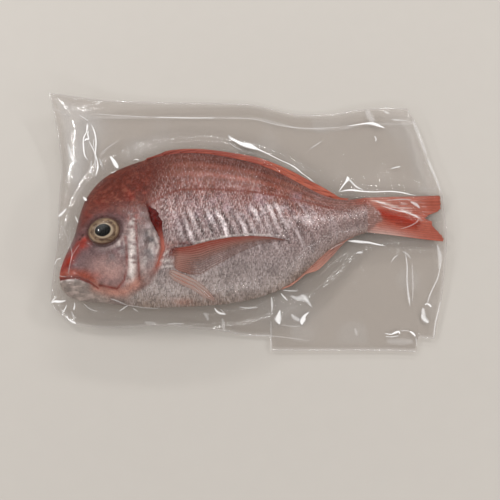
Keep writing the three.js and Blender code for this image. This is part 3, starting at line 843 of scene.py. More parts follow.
def skin_paint(at, s, colours):
    """Broad colours of the skin: stops from belly to back, then streaks with painted highlight and shade,
    head regions with some painted glints, and shadows.
    """
    x, y = at.x, at.y
    wander = s + 0.035 * at.noise(26, 21) + 0.02 * at.noise(8, 22)
    stops = [0.0, 0.07, 0.2, 0.42, 0.60, 0.72, 0.84, 0.93, 1.0]
    names = [
        "belly_edge", "belly", "belly_grey", "flank", "flank_pink", "lateral", "back", "back_dark", "ridge",
    ]
    table = np.array([tuple(getattr(colours, name)) for name in names])
    paint = Paint(np.stack([np.interp(wander, stops, table[:, i]) for i in range(3)], -1), colours)
    lay, shade = paint.lay, paint.shade
    rear = smooth(20, 100, x)
    lay("peduncle", rear, 0.55)
    lay("tail_red", smooth(86, 106, x) * smooth(0.7, 0.92, s + 0.04 * at.noise(5, 7)), 0.8)
    # Oblique streaks of the flank on the relief's muscle bands: bright crests, partly the flank's own silver
    # and partly painted highlight, and painted shade in the grooves between them.
    pitch = (x + 0.43 * y) / 7.3 + 0.22 * at.noise(13, 4)
    bands_top = -4 + 12 * smooth(-10, 40, x)
    bands = smooth(-62, -46, x) * (1 - smooth(20, 78, x)) * smooth(-38, -18, y)
    bands = bands * (1 - smooth(-4, 7, y - bands_top))
    bands = bands * np.clip(0.8 + 0.5 * at.noise(15, 6) + 0.5 * at.spot(-30, -8, 34, 12), 0, 1)
    wave = np.sin(2 * np.pi * pitch) + 0.45 * at.noise(2.0, 3)
    each = np.clip(0.55 + 1.1 * noise(np.floor(pitch + 0.25), y / 26, 1, 5), 0, 1)
    lay("streak", bands * smooth(-0.1, 0.7, wave) * each, 1.0)
    shade(bands * smooth(-0.1, -0.9, wave), -0.55)
    lilac = at.spot(44, 12, 22, 9) + at.spot(2, 6, 26, 10) + 0.7 * at.spot(-40, -8, 26, 12)
    lay("lilac", lilac * at.blots(-0.1, 0.5, 6, 24), 0.45)
    # Bright blots of the flank: partly its silver, partly painted highlight.
    lay("streak", at.spot(40, -2, 40, 13) * smooth(0.1, 0.6, at.noise(4, 11) + 0.4 * at.noise(12, 12)), 0.4)
    # Long faint bands of the back.
    rows = np.sin((s - 0.72) * 2 * np.pi / 0.075 + 0.5 * at.noise(40, 31))
    shade(smooth(0.7, 0.8, s) * smooth(-90, -50, x) * rows, 0.20)
    lay("tan", smooth(0.62, 0.7, s) * (1 - smooth(0.92, 0.98, s)) * at.blots(0.1, 0.7, 9, 25), 0.35)
    lay("lateral_line", at.stroke(RED_LINE + (0, 5), 2.0) * (0.4 + 0.5 * at.noise(9, 37)), 0.35)

    head = 1 - smooth(-4, 4, x - gill_x(y) - 2)
    nape = 1 - smooth(-78, -40, x)
    lay("nape", nape * smooth(2, 26, y + 0.12 * (x + 100)), 0.9)
    lay("shoulder", at.spot(-60, -5, 14, 22), 0.45)
    lay("gill_cover", head * smooth(-95, -84, x) * (1 - smooth(0, 22, y)), 0.9)
    lay("gill_cover_low", head * smooth(-95, -84, x) * smooth(-38, -58, y), 0.7)
    lay("cheek", head * (1 - smooth(-97, -88, x)) * (1 - smooth(-8, 14, y)), 0.9)
    lay("cheek_low", head * at.spot(-105, -50, 17, 10, -10), 0.75)
    lay("nape", head * smooth(-12, 8, y + 0.25 * (x + 118)), 0.75)
    speckle = at.noise(1.7, 27) + 0.5 * at.noise(3.1, 28)
    brow = smooth(-10, 4, y + 0.25 * (x + 118)) * (1 - smooth(-70, -58, x))
    lay("nape", head * at.spot(-131, -6, 15, 10, 60), 0.8)
    lay("white", at.spot(-128, -22, 3, 5, 10) * at.blots(-0.2, 0.5, 2.5, 36), 0.25)
    lay("tan", brow * (0.25 + at.spot(-99, 12, 17, 8)) * smooth(0.1, 0.8, speckle), 0.45)
    lay("snout", at.spot(-88, 14, 9, 9) * at.blots(-0.3, 0.5, 5, 14), 0.5)
    lay("snout", at.spot(-126, 4, 12, 9, 50) * at.blots(-0.4, 0.5, 5, 29), 0.35)
    front = ((-124, -25.5), (-132.7, -29.8), (-139.6, -37.6), (-144, -45.4), (-147, -53))
    lay("front_red", at.stroke(front, 5.0) * (0.85 + 0.3 * at.noise(4, 12)), 1.0)
    lay("snout", at.stroke(((-146.5, -36), (-150.5, -54)), 4.0), 0.8)
    lay("lip", at.spot(-130, -52.5, 16, 3.6, -8) * (0.8 + 0.4 * at.noise(5, 13)), 0.85)
    jaw_top = np.interp(x, MOUTH[:, 0], MOUTH[:, 1])
    lay("jaw", (1 - smooth(-2.2, -0.4, y - jaw_top)) * (1 - smooth(-114, -100, x)), 0.95)
    lay("jaw", (1 - smooth(-70, -62, y)) * (1 - smooth(-92, -72, x)), 0.7)
    grey = noise(x * 0.22 + y * 0.1, y, 1.3, 30)
    chin = (1 - smooth(-3, -1, y - jaw_top)) * (1 - smooth(-114, -100, x))
    lay("pale_band", chin * smooth(0.1, 0.7, grey), 0.45)
    lay("lip", at.stroke(MOUTH + (0, 3.2), 2.4) * (1 - smooth(-119, -113, x)), 0.9)
    # Painted highlight along the top edge of the lower jaw.
    lip_edge_glint = at.stroke(MOUTH + (2, -1.9), 0.9) * (1 - smooth(-124, -116, x))
    lay("white", lip_edge_glint * at.blots(-0.6, 0.4, 4, 40), 0.55)
    # Broken painted glints along the raised ridge in the pale band before the gill cover.
    broken_glints = smooth(-0.7, 0.4, noise(x * 0.4, y, 1.8, 15))
    lay("white", at.stroke(((-88.5, -8), (-87.6, -38), (-88, -58)), 3.0) * broken_glints, 0.92)
    lay("white", at.spot(-97, -29, 3.4, 8, 12) * at.blots(-0.5, 0.5, 2.4, 32), 0.55)
    lay("fin_red", at.spot(-87, -12, 5, 12) * smooth(-0.2, 0.5, speckle), 0.6)
    lay("flange", at.stroke(((-118, -63), (-106, -66.5), (-94, -67), (-84, -60)), 4.0), 0.85)
    blue = head * at.spot(-73.5, -30, 9, 17) + 0.6 * head * at.spot(-103, -38, 9, 9)
    lay("gill_blue", blue * at.blots(-0.5, 0.5, 4.5, 33), 0.75)
    lay("white", head * at.spot(-75, -30, 9, 20) * smooth(0.15, 0.7, noise(x, y * 0.6, 3.2, 35)), 0.5)
    shade(head * at.spot(-73, -27, 8, 13) * at.blots(0.0, 0.7, 5.5, 34), -0.45)
    lay("red_line", at.stroke(PREOPERCLE, 1.1) * (0.8 + 0.4 * at.noise(5, 16)), 0.9)
    lay("red_line", at.stroke(CHEEK_RIDGE, 0.9) * smooth(4, -6, y), 0.8)
    lay("red_line", at.stroke(MOUTH, 0.8), 0.95)
    lay("streak", at.spot(-74, -26, 7, 16) * at.blots(0.0, 0.7, 5, 17), 0.35)
    lay("red_line", at.spot(-90, -12, 5, 14) * at.blots(0.1, 0.7, 4, 18), 0.35)
    r = np.hypot((x - EYE_CENTRE[0]) / EYE_RADII[0], (y - EYE_CENTRE[1]) / EYE_RADII[1])
    lay("orbit", np.exp(-(((r - 1.04) / 0.12) ** 2)), 0.65)
    lay("pale_band", np.exp(-(((r - 1.33) / 0.12) ** 2)) * smooth(-4, -26, y) * smooth(-128, -100, x), 0.3)
    lay("nostril", at.spot(-129.5, -21, 1.6, 1.2, 60) + at.spot(-132, -24, 1.1, 1.1), 0.9)
    behind = x - gill_x(y)
    gate = smooth(-74, -62, y) * (1 - smooth(2, 10, y))
    reach = np.interp(-y, (-6, 4, 11, 18, 26, 38, 50, 66), (2.0, 6.5, 8.0, 5.5, 4.4, 3.6, 1.8, 1.2))
    slit = gate * smooth(-0.8, 0.2, behind) * (1 - smooth(0.7, 1.0, behind / reach))
    lay("blood", slit * smooth(-34, -18, y), 0.9)
    rim = gate * np.exp(-(((behind - 1.5) / 2.4) ** 2))
    lay("gill_edge", rim * smooth(-20, -32, y) * smooth(-57, -46, y), 0.85)
    lay("nape", at.spot(-80, 7, 3.0, 4, 20), 0.8)
    # Two painted glints at the base of the pectoral fin.
    lay("white", at.spot(-59, -43.5, 7, 1.3, -3) + at.spot(-58, -48, 6, 1.0, 4), 0.65)
    lay("pale_band", at.spot(-58, -32, 6, 7) * at.blots(-0.1, 0.5, 3, 19), 0.7)
    lay("lip", at.spot(-57, -31, 9, 3.0, 12), 0.4)
    lay("fin_red", at.spot(-54, -37, 6, 4.5), 0.85)
    lay("blood", at.stroke(((-56, -36), (-50, -31.5), (-44, -29.5), (-39.5, -31.5)), 1.5), 0.75)
    ridge = ((-62, -39), (-55, -33), (-41, -30.6), (-25, -26), (-9, -23), (8, -21.7), (24, -21.8))
    lay("white", at.stroke(ridge, 0.9) * at.blots(-0.6, 0.3, 5, 69), 0.55)
    lay("white", at.stroke(((-68, -38), (-66, -33), (-70, -22)), 0.9), 0.45)
    lay("pelvic", at.stroke(((-56, -53), (-37, -62.2), (-22, -72.8)), 5), 0.5)
    lay("flange", at.spot(-47, -74, 9, 2.5), 0.5)
    thread = at.stroke(RED_LINE, 1.1) * (1 - smooth(70, 100, x)) * (0.8 + 0.5 * at.noise(6, 26))
    lay("lateral_line", thread, 0.9)
    shade(at.noise(30, 41) * 0.7 + at.noise(11, 42) * 0.5, 0.10)
    shade(head * at.noise(4, 43), 0.16)
    shade((head + 0.6 * nape * smooth(0, 20, y)) * np.clip(speckle, -1, 1), 0.16)
    return paint.finished()


# The pieces.


def section_shares(steps):
    """Places across a section from back to belly, a little closer together at its edges."""
    i = np.linspace(0, 1, steps + 1)
    return 0.35 * (1 + np.cos(np.pi * i)) / 2 + 0.65 * (1 - i)


def body_steps(head_rings, trunk_rings):
    """Ring places: even from the snout to the gill edge, a close pair there, and even on to the tail root."""
    head = np.linspace(0.02, GILL_AT, head_rings)
    trunk = np.linspace(GILL_AT + 0.03, LAST, trunk_rings)
    return np.concatenate([head, trunk])


def both_sides(rows, upper, lower, surface):
    """Rings over the upper side from back to belly and home along the underside, at each place in rows.

    Gives x, y and z of the surface, then the place along and the share across of each point.
    """
    top = section_shares(upper)[None, :]
    under = section_shares(lower)[None, ::-1][:, 1:-1]
    grids = []
    for across, side in ((top, 1), (under, -1)):
        along, share = np.broadcast_arrays(rows[:, None], across)
        grids.append((*surface(along, share, side), along, share))
    return [np.concatenate(pair, 1) for pair in zip(*grids)]


def scale_places(x, y):
    """UV map of the scales: pitches run along the body, and rows counted across from the lateral line."""
    stations = np.linspace(-160, 120, 281)
    pitch = np.interp(stations, (-150, 40, TAIL_ROOT_X), (3.07, 3.07, 2.3))
    along = np.interp(x, stations, np.cumsum(1 / pitch))
    depth = edge_y(x, True) - edge_y(x, False)
    row = (y - lateral_y(x)) / np.maximum(depth, 20) * 24 * (np.clip(depth, 20, 140) / 132) ** 0.45
    return np.stack([along + 200, row + 200], -1)


def scale_share(at):
    """How far the skin is scaled: bare on the head but for a patch on the cheek, and on the tail's root."""
    head = 1 - smooth(-3, 3, at.x - gill_x(at.y) - 3)
    bare = np.maximum(1 - smooth(-101, -90, at.x) * (1 - 0.5 * head), head * 0.55)
    cheek = head * at.spot(-103, -42, 10, 12) * 0.5
    return np.clip(1 - np.maximum(bare - cheek, 0), 0, 1) * (1 - smooth(105, 112, at.x))


def silver_share(at, s):
    """How far the scales glitter: most on the flank, less on back, belly, head, nape and the red line."""
    head = 1 - smooth(-3, 3, at.x - gill_x(at.y) - 3)
    silver = 1 - smooth(0.62, 0.86, s) * 0.82
    silver = silver * (0.55 + 0.45 * smooth(0.28, 0.46, s))
    silver = silver * (1 - head * 0.45) * (1 - at.stroke(((-138.5, -2), (-150.5, -54)), 12))
    silver = silver * (1 - (1 - smooth(-84, -60, at.x)) * smooth(-6, 14, at.y + 0.12 * (at.x + 100)))
    return silver * (1 - 0.9 * at.stroke(RED_LINE, 1.3) * (1 - smooth(70, 100, at.x)))


def tipped(values):
    """A grid of values as a list, with the values of the end rings' tips after it."""
    values = values.reshape(-1, values.shape[-1]) if values.ndim > 2 else values.ravel()
    return np.concatenate([values, values[:1], values[-1:]])


def build_fish_body(sizes, colours):
    """Rings over the upper flank from back to belly and home along the underside, from snout to tail root."""
    rings = body_steps(sizes.head_rings, sizes.trunk_rings)
    x, y, z, _, s = both_sides(rings, sizes.upper_columns, sizes.lower_columns, body_point)
    rows, cols = x.shape
    at = Places(x, y)
    attributes = [
        ("paint", tipped(skin_paint(at, s, colours))),
        ("scales", tipped(scale_share(at))),
        ("silver", tipped(silver_share(at, s))),
    ]
    points = with_tips(point_list(x, y, z), cols)
    uv = tipped(scale_places(x, y))
    material = skin_material(colours)
    return finish_mesh("fish_body", points, capped_faces(rows, cols), material, uv, attributes)


class TopField:
    """Height of the fish's upper or lower surface on a square plan grid, for what lies on it."""

    def __init__(self, step=1.0, side=1):
        self.step = step
        self.low = np.array([-182.0, -126.0])
        self.shape = (int(366 / step), int(248 / step))
        k = np.linspace(0.02, LAST, 900)[:, None]
        s = np.linspace(0, 1, 500)[None, :]
        kk, ss = np.broadcast_arrays(k, s)
        clouds = [np.stack(body_point(kk, ss, side), -1).reshape(-1, 3)]
        w = np.linspace(0.01, 1, 300)[:, None]
        s = np.linspace(0, 1, 200)[None, :]
        ww, ss = np.broadcast_arrays(w, s)
        clouds.append(np.stack(tail_point(ww, ss, side), -1).reshape(-1, 3))
        self.height = np.full(self.shape, -1e3 if side > 0 else 1e3)
        self.add(np.concatenate(clouds), side)

    def add(self, points, side):
        """Raises (or lowers) the field to a cloud of points."""
        i = np.clip(((points[:, 0] - self.low[0]) / self.step).astype(int), 0, self.shape[0] - 1)
        j = np.clip(((points[:, 1] - self.low[1]) / self.step).astype(int), 0, self.shape[1] - 1)
        (np.maximum if side > 0 else np.minimum).at(self.height, (i, j), points[:, 2])

    def at(self, x, y, field=None):
        """Reads the field between its cells."""
        field = self.height if field is None else field
        u = np.clip((x - self.low[0]) / self.step - 0.5, 0, self.shape[0] - 1.001)
        v = np.clip((y - self.low[1]) / self.step - 0.5, 0, self.shape[1] - 1.001)
        i = u.astype(int)
        j = v.astype(int)
        fu = u - i
        fv = v - j
        low = mix(field[i, j], field[i + 1, j], fu)
        high = mix(field[i, j + 1], field[i + 1, j + 1], fu)
        return mix(low, high, fv)


def build_eye(field, colours):
    """A flat dome: rings from the centre outwards, as high as the root of one minus r squared."""
    rings = 22
    spokes = 56
    around = 1.25
    sunk = 2.0
    centre = np.array(EYE_CENTRE)
    radii = np.array(EYE_RADII)
    r = np.linspace(0, 1, rings)[1:, None]
    a = np.linspace(0, 2 * np.pi, spokes, endpoint=False)[None, :]
    x = centre[0] + radii[0] * r * np.cos(a)
    y = centre[1] + radii[1] * r * np.sin(a)
    rim = field.at(centre[0] + radii[0] * around * np.cos(a), centre[1] + radii[1] * around * np.sin(a))
    level = rim.mean()
    tilt_x = (rim * np.cos(a)).mean() * 2 / (radii[0] * around)
    tilt_y = (rim * np.sin(a)).mean() * 2 / (radii[1] * around)
    plane = level + tilt_x * (x - centre[0]) + tilt_y * (y - centre[1])
    z = plane + 2.5 * np.sqrt(np.clip(1 - (r * 0.985) ** 2, 0, 1)) - 0.3
    z = np.maximum(z, field.at(x, y) + 0.12) - 0.5 * smooth(0.93, 1.0, r)
    foot = point_list(x[-1], y[-1], plane[-1] - sunk)
    tips = [(*centre, z[0].mean()), (*centre, level - sunk)]
    points = np.concatenate([point_list(x, y, z), foot, tips])
    uv = (points[:, :2] - centre) / (2 * radii) + 0.5
    faces = capped_faces(rings, spokes)[:, ::-1]
    return finish_mesh("fish_eye_upper", points, faces, eye_material(colours), uv)


def build_gill_membrane(field, colours):
    """The blood red membrane in the gill slit: a flattened tube along the gill cover's edge."""
    sides = 12
    y = np.linspace(3.0, -49.0, 150)
    width = np.interp(-y, (-3, 4, 11, 18, 26, 36, 43, 49), (0.8, 6.6, 8.6, 5.4, 3.4, 2.8, 1.8, 0.4)) / 2
    x = gill_x(y) + 0.2 + width + 0.8 * noise(y, 0 * y, 4, 51)
    path = np.stack([x, y, field.at(x + 1.5, y) - 0.1], -1)
    points, faces = tube(path, width, sides)
    centre = np.repeat(path, sides, 0)
    skin = points[: len(centre)]
    lumps = 1 + 0.22 * noise(skin[:, 1], skin[:, 0], 2.3, 52)
    points[: len(centre)] = centre + (skin - centre) * (1, 1, 0.35) * lumps[:, None]
    material = flesh_material("gill_membrane_red", colours.blood, colours.clot, colours.gill_edge)
    pale = smooth(-14, -34, points[:, 1])
    return finish_mesh("gill_membrane_upper", points, faces, material, None, [("wash", pale)])


def build_flat_fin(name, x, y, z, thick, material, uv, attributes):
    """A thin closed sheet: the grid of points as its upper face, a lower face under it, and edges between."""
    points = np.concatenate([point_list(x, y, z), point_list(x, y, z - thick)])
    faces = sheet_faces(*x.shape)[:, ::-1]
    attributes = [(title, np.tile(values.ravel(), 2)) for title, values in attributes]
    uv = np.tile(np.stack(uv, -1).reshape(-1, 2), (2, 1))
    return finish_mesh(name, points, faces, material, uv, attributes)


def build_pectoral_fin(field, colours):
    """Long pointed fin: t runs from root to tip, w from the red upper ray to the clear lower edge."""
    t, w = np.meshgrid(np.linspace(0, 1, 120), np.linspace(0, 1, 90), indexing="ij")
    x = mix(PECTORAL_UPPER[0, 0], PECTORAL_UPPER[-1, 0], t)
    y = mix(np.interp(x, *PECTORAL_UPPER.T), np.interp(x, *PECTORAL_LOWER.T), w)
    rays = np.abs(np.sin(np.pi * w * PECTORAL_RAYS))
    leading = smooth(0, 0.25, 1 - w) * smooth(0, 0.15, t) * (1 - t) ** 0.3
    z = field.at(x, y) + 0.55 + 0.75 * leading + 0.25 * rays * (1 - 0.6 * w) - 0.45 * smooth(0.85, 1, w)
    wash = np.clip(0.12 + 0.9 * smooth(0.06, 0.5, w) + 0.25 * smooth(0.5, 1, t), 0, 1)
    clear = smooth(0.1, 0.7, w) * 0.86 * smooth(0.03, 0.25, t)
    clear = np.maximum(clear, 0.97 * (1 - smooth(0.01, 0.07, t + 0.02 * noise(x, y, 3, 68))))
    material = fin_material("pectoral_fin", PECTORAL_RAYS, colours.fin_red, colours.fin_pale, clear=True)
    marks = [("wash", wash), ("clear", clear)]
    return build_flat_fin("pectoral_fin_upper", x, y, z, 0.25, material, (t, w), marks)


def build_pelvic_fin(field, colours):
    """Folded pelvic fin: a narrow fan of rays along the belly, pressed flat."""
    t, w = np.meshgrid(np.linspace(0, 1, 80), np.linspace(0, 1, 40), indexing="ij")
    shares = np.linspace(0, 1, len(PELVIC_LINE))
    width = np.interp(t, (0, 0.15, 0.5, 0.85, 1), (1.2, 2.6, 3.6, 3.0, 1.0))
    x = np.interp(t, shares, PELVIC_LINE[:, 0]) - 0.4 * width * (w - 0.5) * 2
    y = np.interp(t, shares, PELVIC_LINE[:, 1]) - width * (w - 0.5) * 2
    rays = np.abs(np.sin(np.pi * w * PELVIC_RAYS))
    z = field.at(x, y) + 0.3 + 1.0 * rays * (1 - 0.3 * t) * np.sin(np.pi * np.clip(w, 0.08, 0.92)) ** 0.6
    wash = np.clip(0.15 + 0.9 * smooth(0.45, 0.1, rays) + 0.3 * noise(x, y, 5, 65), 0, 1)
    material = fin_material("pelvic_fin", PELVIC_RAYS, colours.fin_pink, colours.flange)
    return build_flat_fin("pelvic_fin_upper", x, y, z, 0.3, material, (t, w), [("wash", wash)])


def folded_web(fin, outward, spines):
    """The pleated web of a folded fin: closed rings of points along it, thin at their outer edge."""
    rows, cols = 220, 20
    t = np.linspace(0, 1, rows)
    a = np.linspace(0, 2 * np.pi, cols, endpoint=False)
    x = np.broadcast_to(mix(fin[0], fin[1], t)[:, None], (rows, cols))
    out = (np.cos(a) + 1) / 2
    pleat = 1 + 0.22 * np.sin(t * spines * 2 * np.pi)[:, None] * out
    tall = np.maximum(0.4, fin_height(fin, t))[:, None]
    rise = mix(-4.0, 0.0, smooth(0, 0.4, out))[None, :] + tall * smooth(0.3, 1, out)[None, :]
    y = edge_y(x[:, 0], outward > 0)[:, None] + outward * rise
    half = fin[5] * (0.35 + 0.65 * np.sin(np.pi * np.clip(t, 0.08, 0.92)))
    half = half[:, None] * (1 - 0.72 * out[None, :])
    z = axis_height(x) + np.sin(a)[None, :] * half * pleat * 1.15
    faces = capped_faces(rows, cols)
    return with_tips(point_list(x, y, z), cols), faces if outward > 0 else faces[:, ::-1]


def folded_spine(fin, outward, number, spines):
    """One spine of a folded fin, laid back along the edge of the body. The middle ones are the longest."""
    steps = 16
    start = mix(fin[0] + 1, fin[1] - 16, number / (spines - 1))
    length = 15 + 9 * math.sin(math.pi * (number + 1) / (spines + 1))
    x = start + np.linspace(0, length, steps)
    along = np.clip((x - fin[0]) / (fin[1] - fin[0]), 0, 0.97)
    y = edge_y(x, outward > 0) + outward * fin_height(fin, along) * np.linspace(0.05, 0.95, steps)
    z = axis_height(x) + fin[5] * 0.55 * np.linspace(1.2, 0.3, steps)
    return tube(np.stack([x, y, z], -1), np.linspace(0.75, 0.22, steps), 7)


def build_edge_fin(name, fin, outward, spines, red, pale):
    """A fin folded on the edge of the body: spines laid back one over the next, and a pleated web."""
    parts = [folded_web(fin, outward, spines)]
    for number in range(spines):
        parts.append(folded_spine(fin, outward, number, spines))
    points, faces = join(parts)
    x, y = points[:, 0], points[:, 1]
    off = outward * (y - edge_y(x, outward > 0))
    along = (x - fin[0]) / (fin[1] - fin[0])
    uv = np.stack([along, off * 0.045 + 0.1 * noise(x, y, 14, 70)], -1)
    wash = smooth(0.35, 0.85, along) * 0.75 + 0.45 * noise(x * 0.12, off, 0.9, 38)
    material = fin_material(name, EDGE_FIN_RAYS, red, pale)
    return finish_mesh(name, points, faces, material, uv, [("wash", wash)])


def tail_paint(at, s, w, colours):
    """Colours of the tail: scaled skin runs on over its root, with a deep red fold and a pale veil."""
    x, y = at.x, at.y
    paint = Paint(np.broadcast_to(np.array(colours.tail_red), x.shape + (3,)), colours)
    lay = paint.lay
    streaks = noise(x * 0.25, y, 1.6, 63)
    lay("tail_pale", 0.25 + smooth(0.55, 0.75, s) * (1 - smooth(0.6, 0.9, w)) * 0.75)
    lay("tail_pale", smooth(0.3, 0.0, s) * (1 - smooth(0.35, 0.8, w)), 0.6)
    lay("flange", (1 - smooth(0.1, 0.45, w)) * smooth(-0.3, 0.4, streaks), 0.4)
    lay("white", at.spot(145, 14, 18, 6, -8) * smooth(0.0, 0.8, streaks), 0.35)
    lay("white", at.stroke(((113, 19), (130, 14), (150, 7), (156, 2)), 1.2) * smooth(-0.5, 0.4, streaks), 0.5)
    lay("fin_red", at.stroke(((110, 27), (140, 26.5), (174, 25)), 1.5) * smooth(-0.5, 0.4, streaks), 0.35)
    lay("pale_band", at.spot(122, -13, 24, 6, -8), 0.6)
    lay("front_red", at.stroke(((120, 6.5), (130, 3.5), (142, 0.5), (149, -1.5)), 5.0), 0.95)
    vein = at.stroke(((134, -2.5), (143, -4.6), (151, -3), (156, 2)), 1.2)
    lay("blood", vein * smooth(-0.4, 0.5, streaks), 0.45)
    reach = 108 + 12 * np.exp(-(((y - 2) / 9) ** 2)) + 2.5 * at.noise(4, 62)
    scaled = 1 - smooth(-3, 4, x - reach)
    lay("peduncle", scaled, 0.95)
    lay("tail_red", scaled * smooth(0.64, 0.84, s + 0.04 * at.noise(5, 7)), 0.8)
    speckle = at.noise(1.1, 66) + 0.4 * at.noise(3, 67)
    # Speckles of the scaled root: bright ones in the streak colour, dark ones in the colour of the scales'
    # painted shade.
    lay("streak", scaled * smooth(0.2, 0.9, speckle), 0.25)
    lay("scale_shade", scaled * smooth(0.1, 0.9, -speckle), 0.3)
    return paint.finished()


def build_tail_fin(colours):
    """Forked tail pressed half shut: rows of rings from the root to the ragged edge between the lobes."""
    rows, upper, lower = 150, 110, 40
    places = np.linspace(0, 1, rows)
    x, y, z, w, s = both_sides(places, upper, lower, tail_point)
    cols = x.shape[1]
    last = (rows - 1) * cols
    top = last + np.arange(upper + 1)
    across = np.round((1 - s[-1, : upper + 1]) * lower).astype(int)
    under = last + (cols - across) % cols
    edge = np.stack([top[:-1], top[1:], under[1:], under[:-1]], -1)
    faces = np.concatenate([capped_faces(rows, cols, far_tip=False), edge])
    points = with_tips(point_list(x, y, z), cols)[:-1]
    uv = tipped(np.stack([w, s], -1))[:-1]
    paint = tipped(tail_paint(Places(x, y), s, w, colours))[:-1]
    material = fin_material("tail_fin", TAIL_RAYS, painted=True)
    return finish_mesh("tail_fin", points, faces, material, uv, [("paint", paint)])


# The bag.


def edge_curve(points, count):
    """Evenly spaced points along a smooth edge."""
    fine = spline(points, np.linspace(0, len(points) - 1, 2000))
    run = np.concatenate([[0], np.cumsum(np.linalg.norm(np.diff(fine, axis=0), axis=1))])
    want = np.linspace(0, run[-1], count)
    return np.stack([np.interp(want, run, fine[:, i]) for i in range(3)], -1)


def bag_plan(columns, rows):
    """The bag's grid in plan with its edge heights: a patch spanned between its four edge curves."""
    top = edge_curve(BAG_TOP, columns)
    bottom = edge_curve(BAG_BOTTOM, columns)[::-1]
    left = edge_curve(BAG_LEFT, rows)
    right = edge_curve(BAG_RIGHT, rows)[::-1]
    drop = smooth(TAB[0] - 1, TAB[0] + 1, bottom[:, 0]) * (1 - smooth(TAB[1] - 1, TAB[1] + 1, bottom[:, 0]))
    u = np.linspace(0, 1, columns)[:, None, None]
    v = np.linspace(0, 1, rows)[None, :, None]
    sides = bottom[:, None] * (1 - v) + top[:, None] * v
    ends = left[None] * (1 - u) + right[None] * u
    corners = (bottom[0] * (1 - v) + top[0] * v) * (1 - u) + (bottom[-1] * (1 - v) + top[-1] * v) * u
    plan = sides + ends - corners
    plan[..., 1] -= TAB[2] * drop[:, None] * np.clip(1 - v[..., 0] / 0.16, 0, 1)
    return plan


def around(field):
    """The four neighbours of each cell of a grid. Outside the edge its own cells are repeated."""
    p = np.pad(field, 1, mode="edge")
    return p[:-2, 1:-1], p[2:, 1:-1], p[1:-1, :-2], p[1:-1, 2:]


def blur(field, times):
    """Averages each cell with its four neighbours, again and again."""
    for _ in range(times):
        field = (sum(around(field)) + field) / 5
    return field


def spread(field, times, largest=True):
    """Each cell takes the largest or smallest value round it."""
    pick = np.maximum if largest else np.minimum
    for _ in range(times):
        field = pick.reduce([*around(field), field])
    return field


# Folds of the film: from, to, half width and height, all millimetres.
FOLDS = [
    ((-25, 76), (12, 55), 2.6, 2.4),
    ((12, 55), (64, 22), 2.4, 1.6),
    ((96, 38), (84, 17), 2.6, 2.0),
    ((84, 19), (166, 27), 2.2, 1.5),
    ((92, -28), (174, -22), 2.4, 1.5),
    ((-122, 58), (-108, 42), 2.6, 1.8),
    ((-152, 92), (-146, 40), 6.0, 2.0),
    ((-158, 10), (-147, -10), 3.5, 1.6),
    ((-161, -70), (-144, -80), 3.2, 1.8),
    ((-42, -79), (-18, -92), 2.6, 1.6),
    ((18, -72), (30, -94), 3.4, 1.8),
    ((42, -70), (56, -82), 4.0, 1.8),
    ((157, 88), (163, 40), 4.0, 1.6),
    ((144, -44), (150, -90), 4.0, 1.6),
    ((104, 70), (130, 92), 4.0, 1.6),
    ((60, -30), (96, -36), 3.0, 1.4),
]
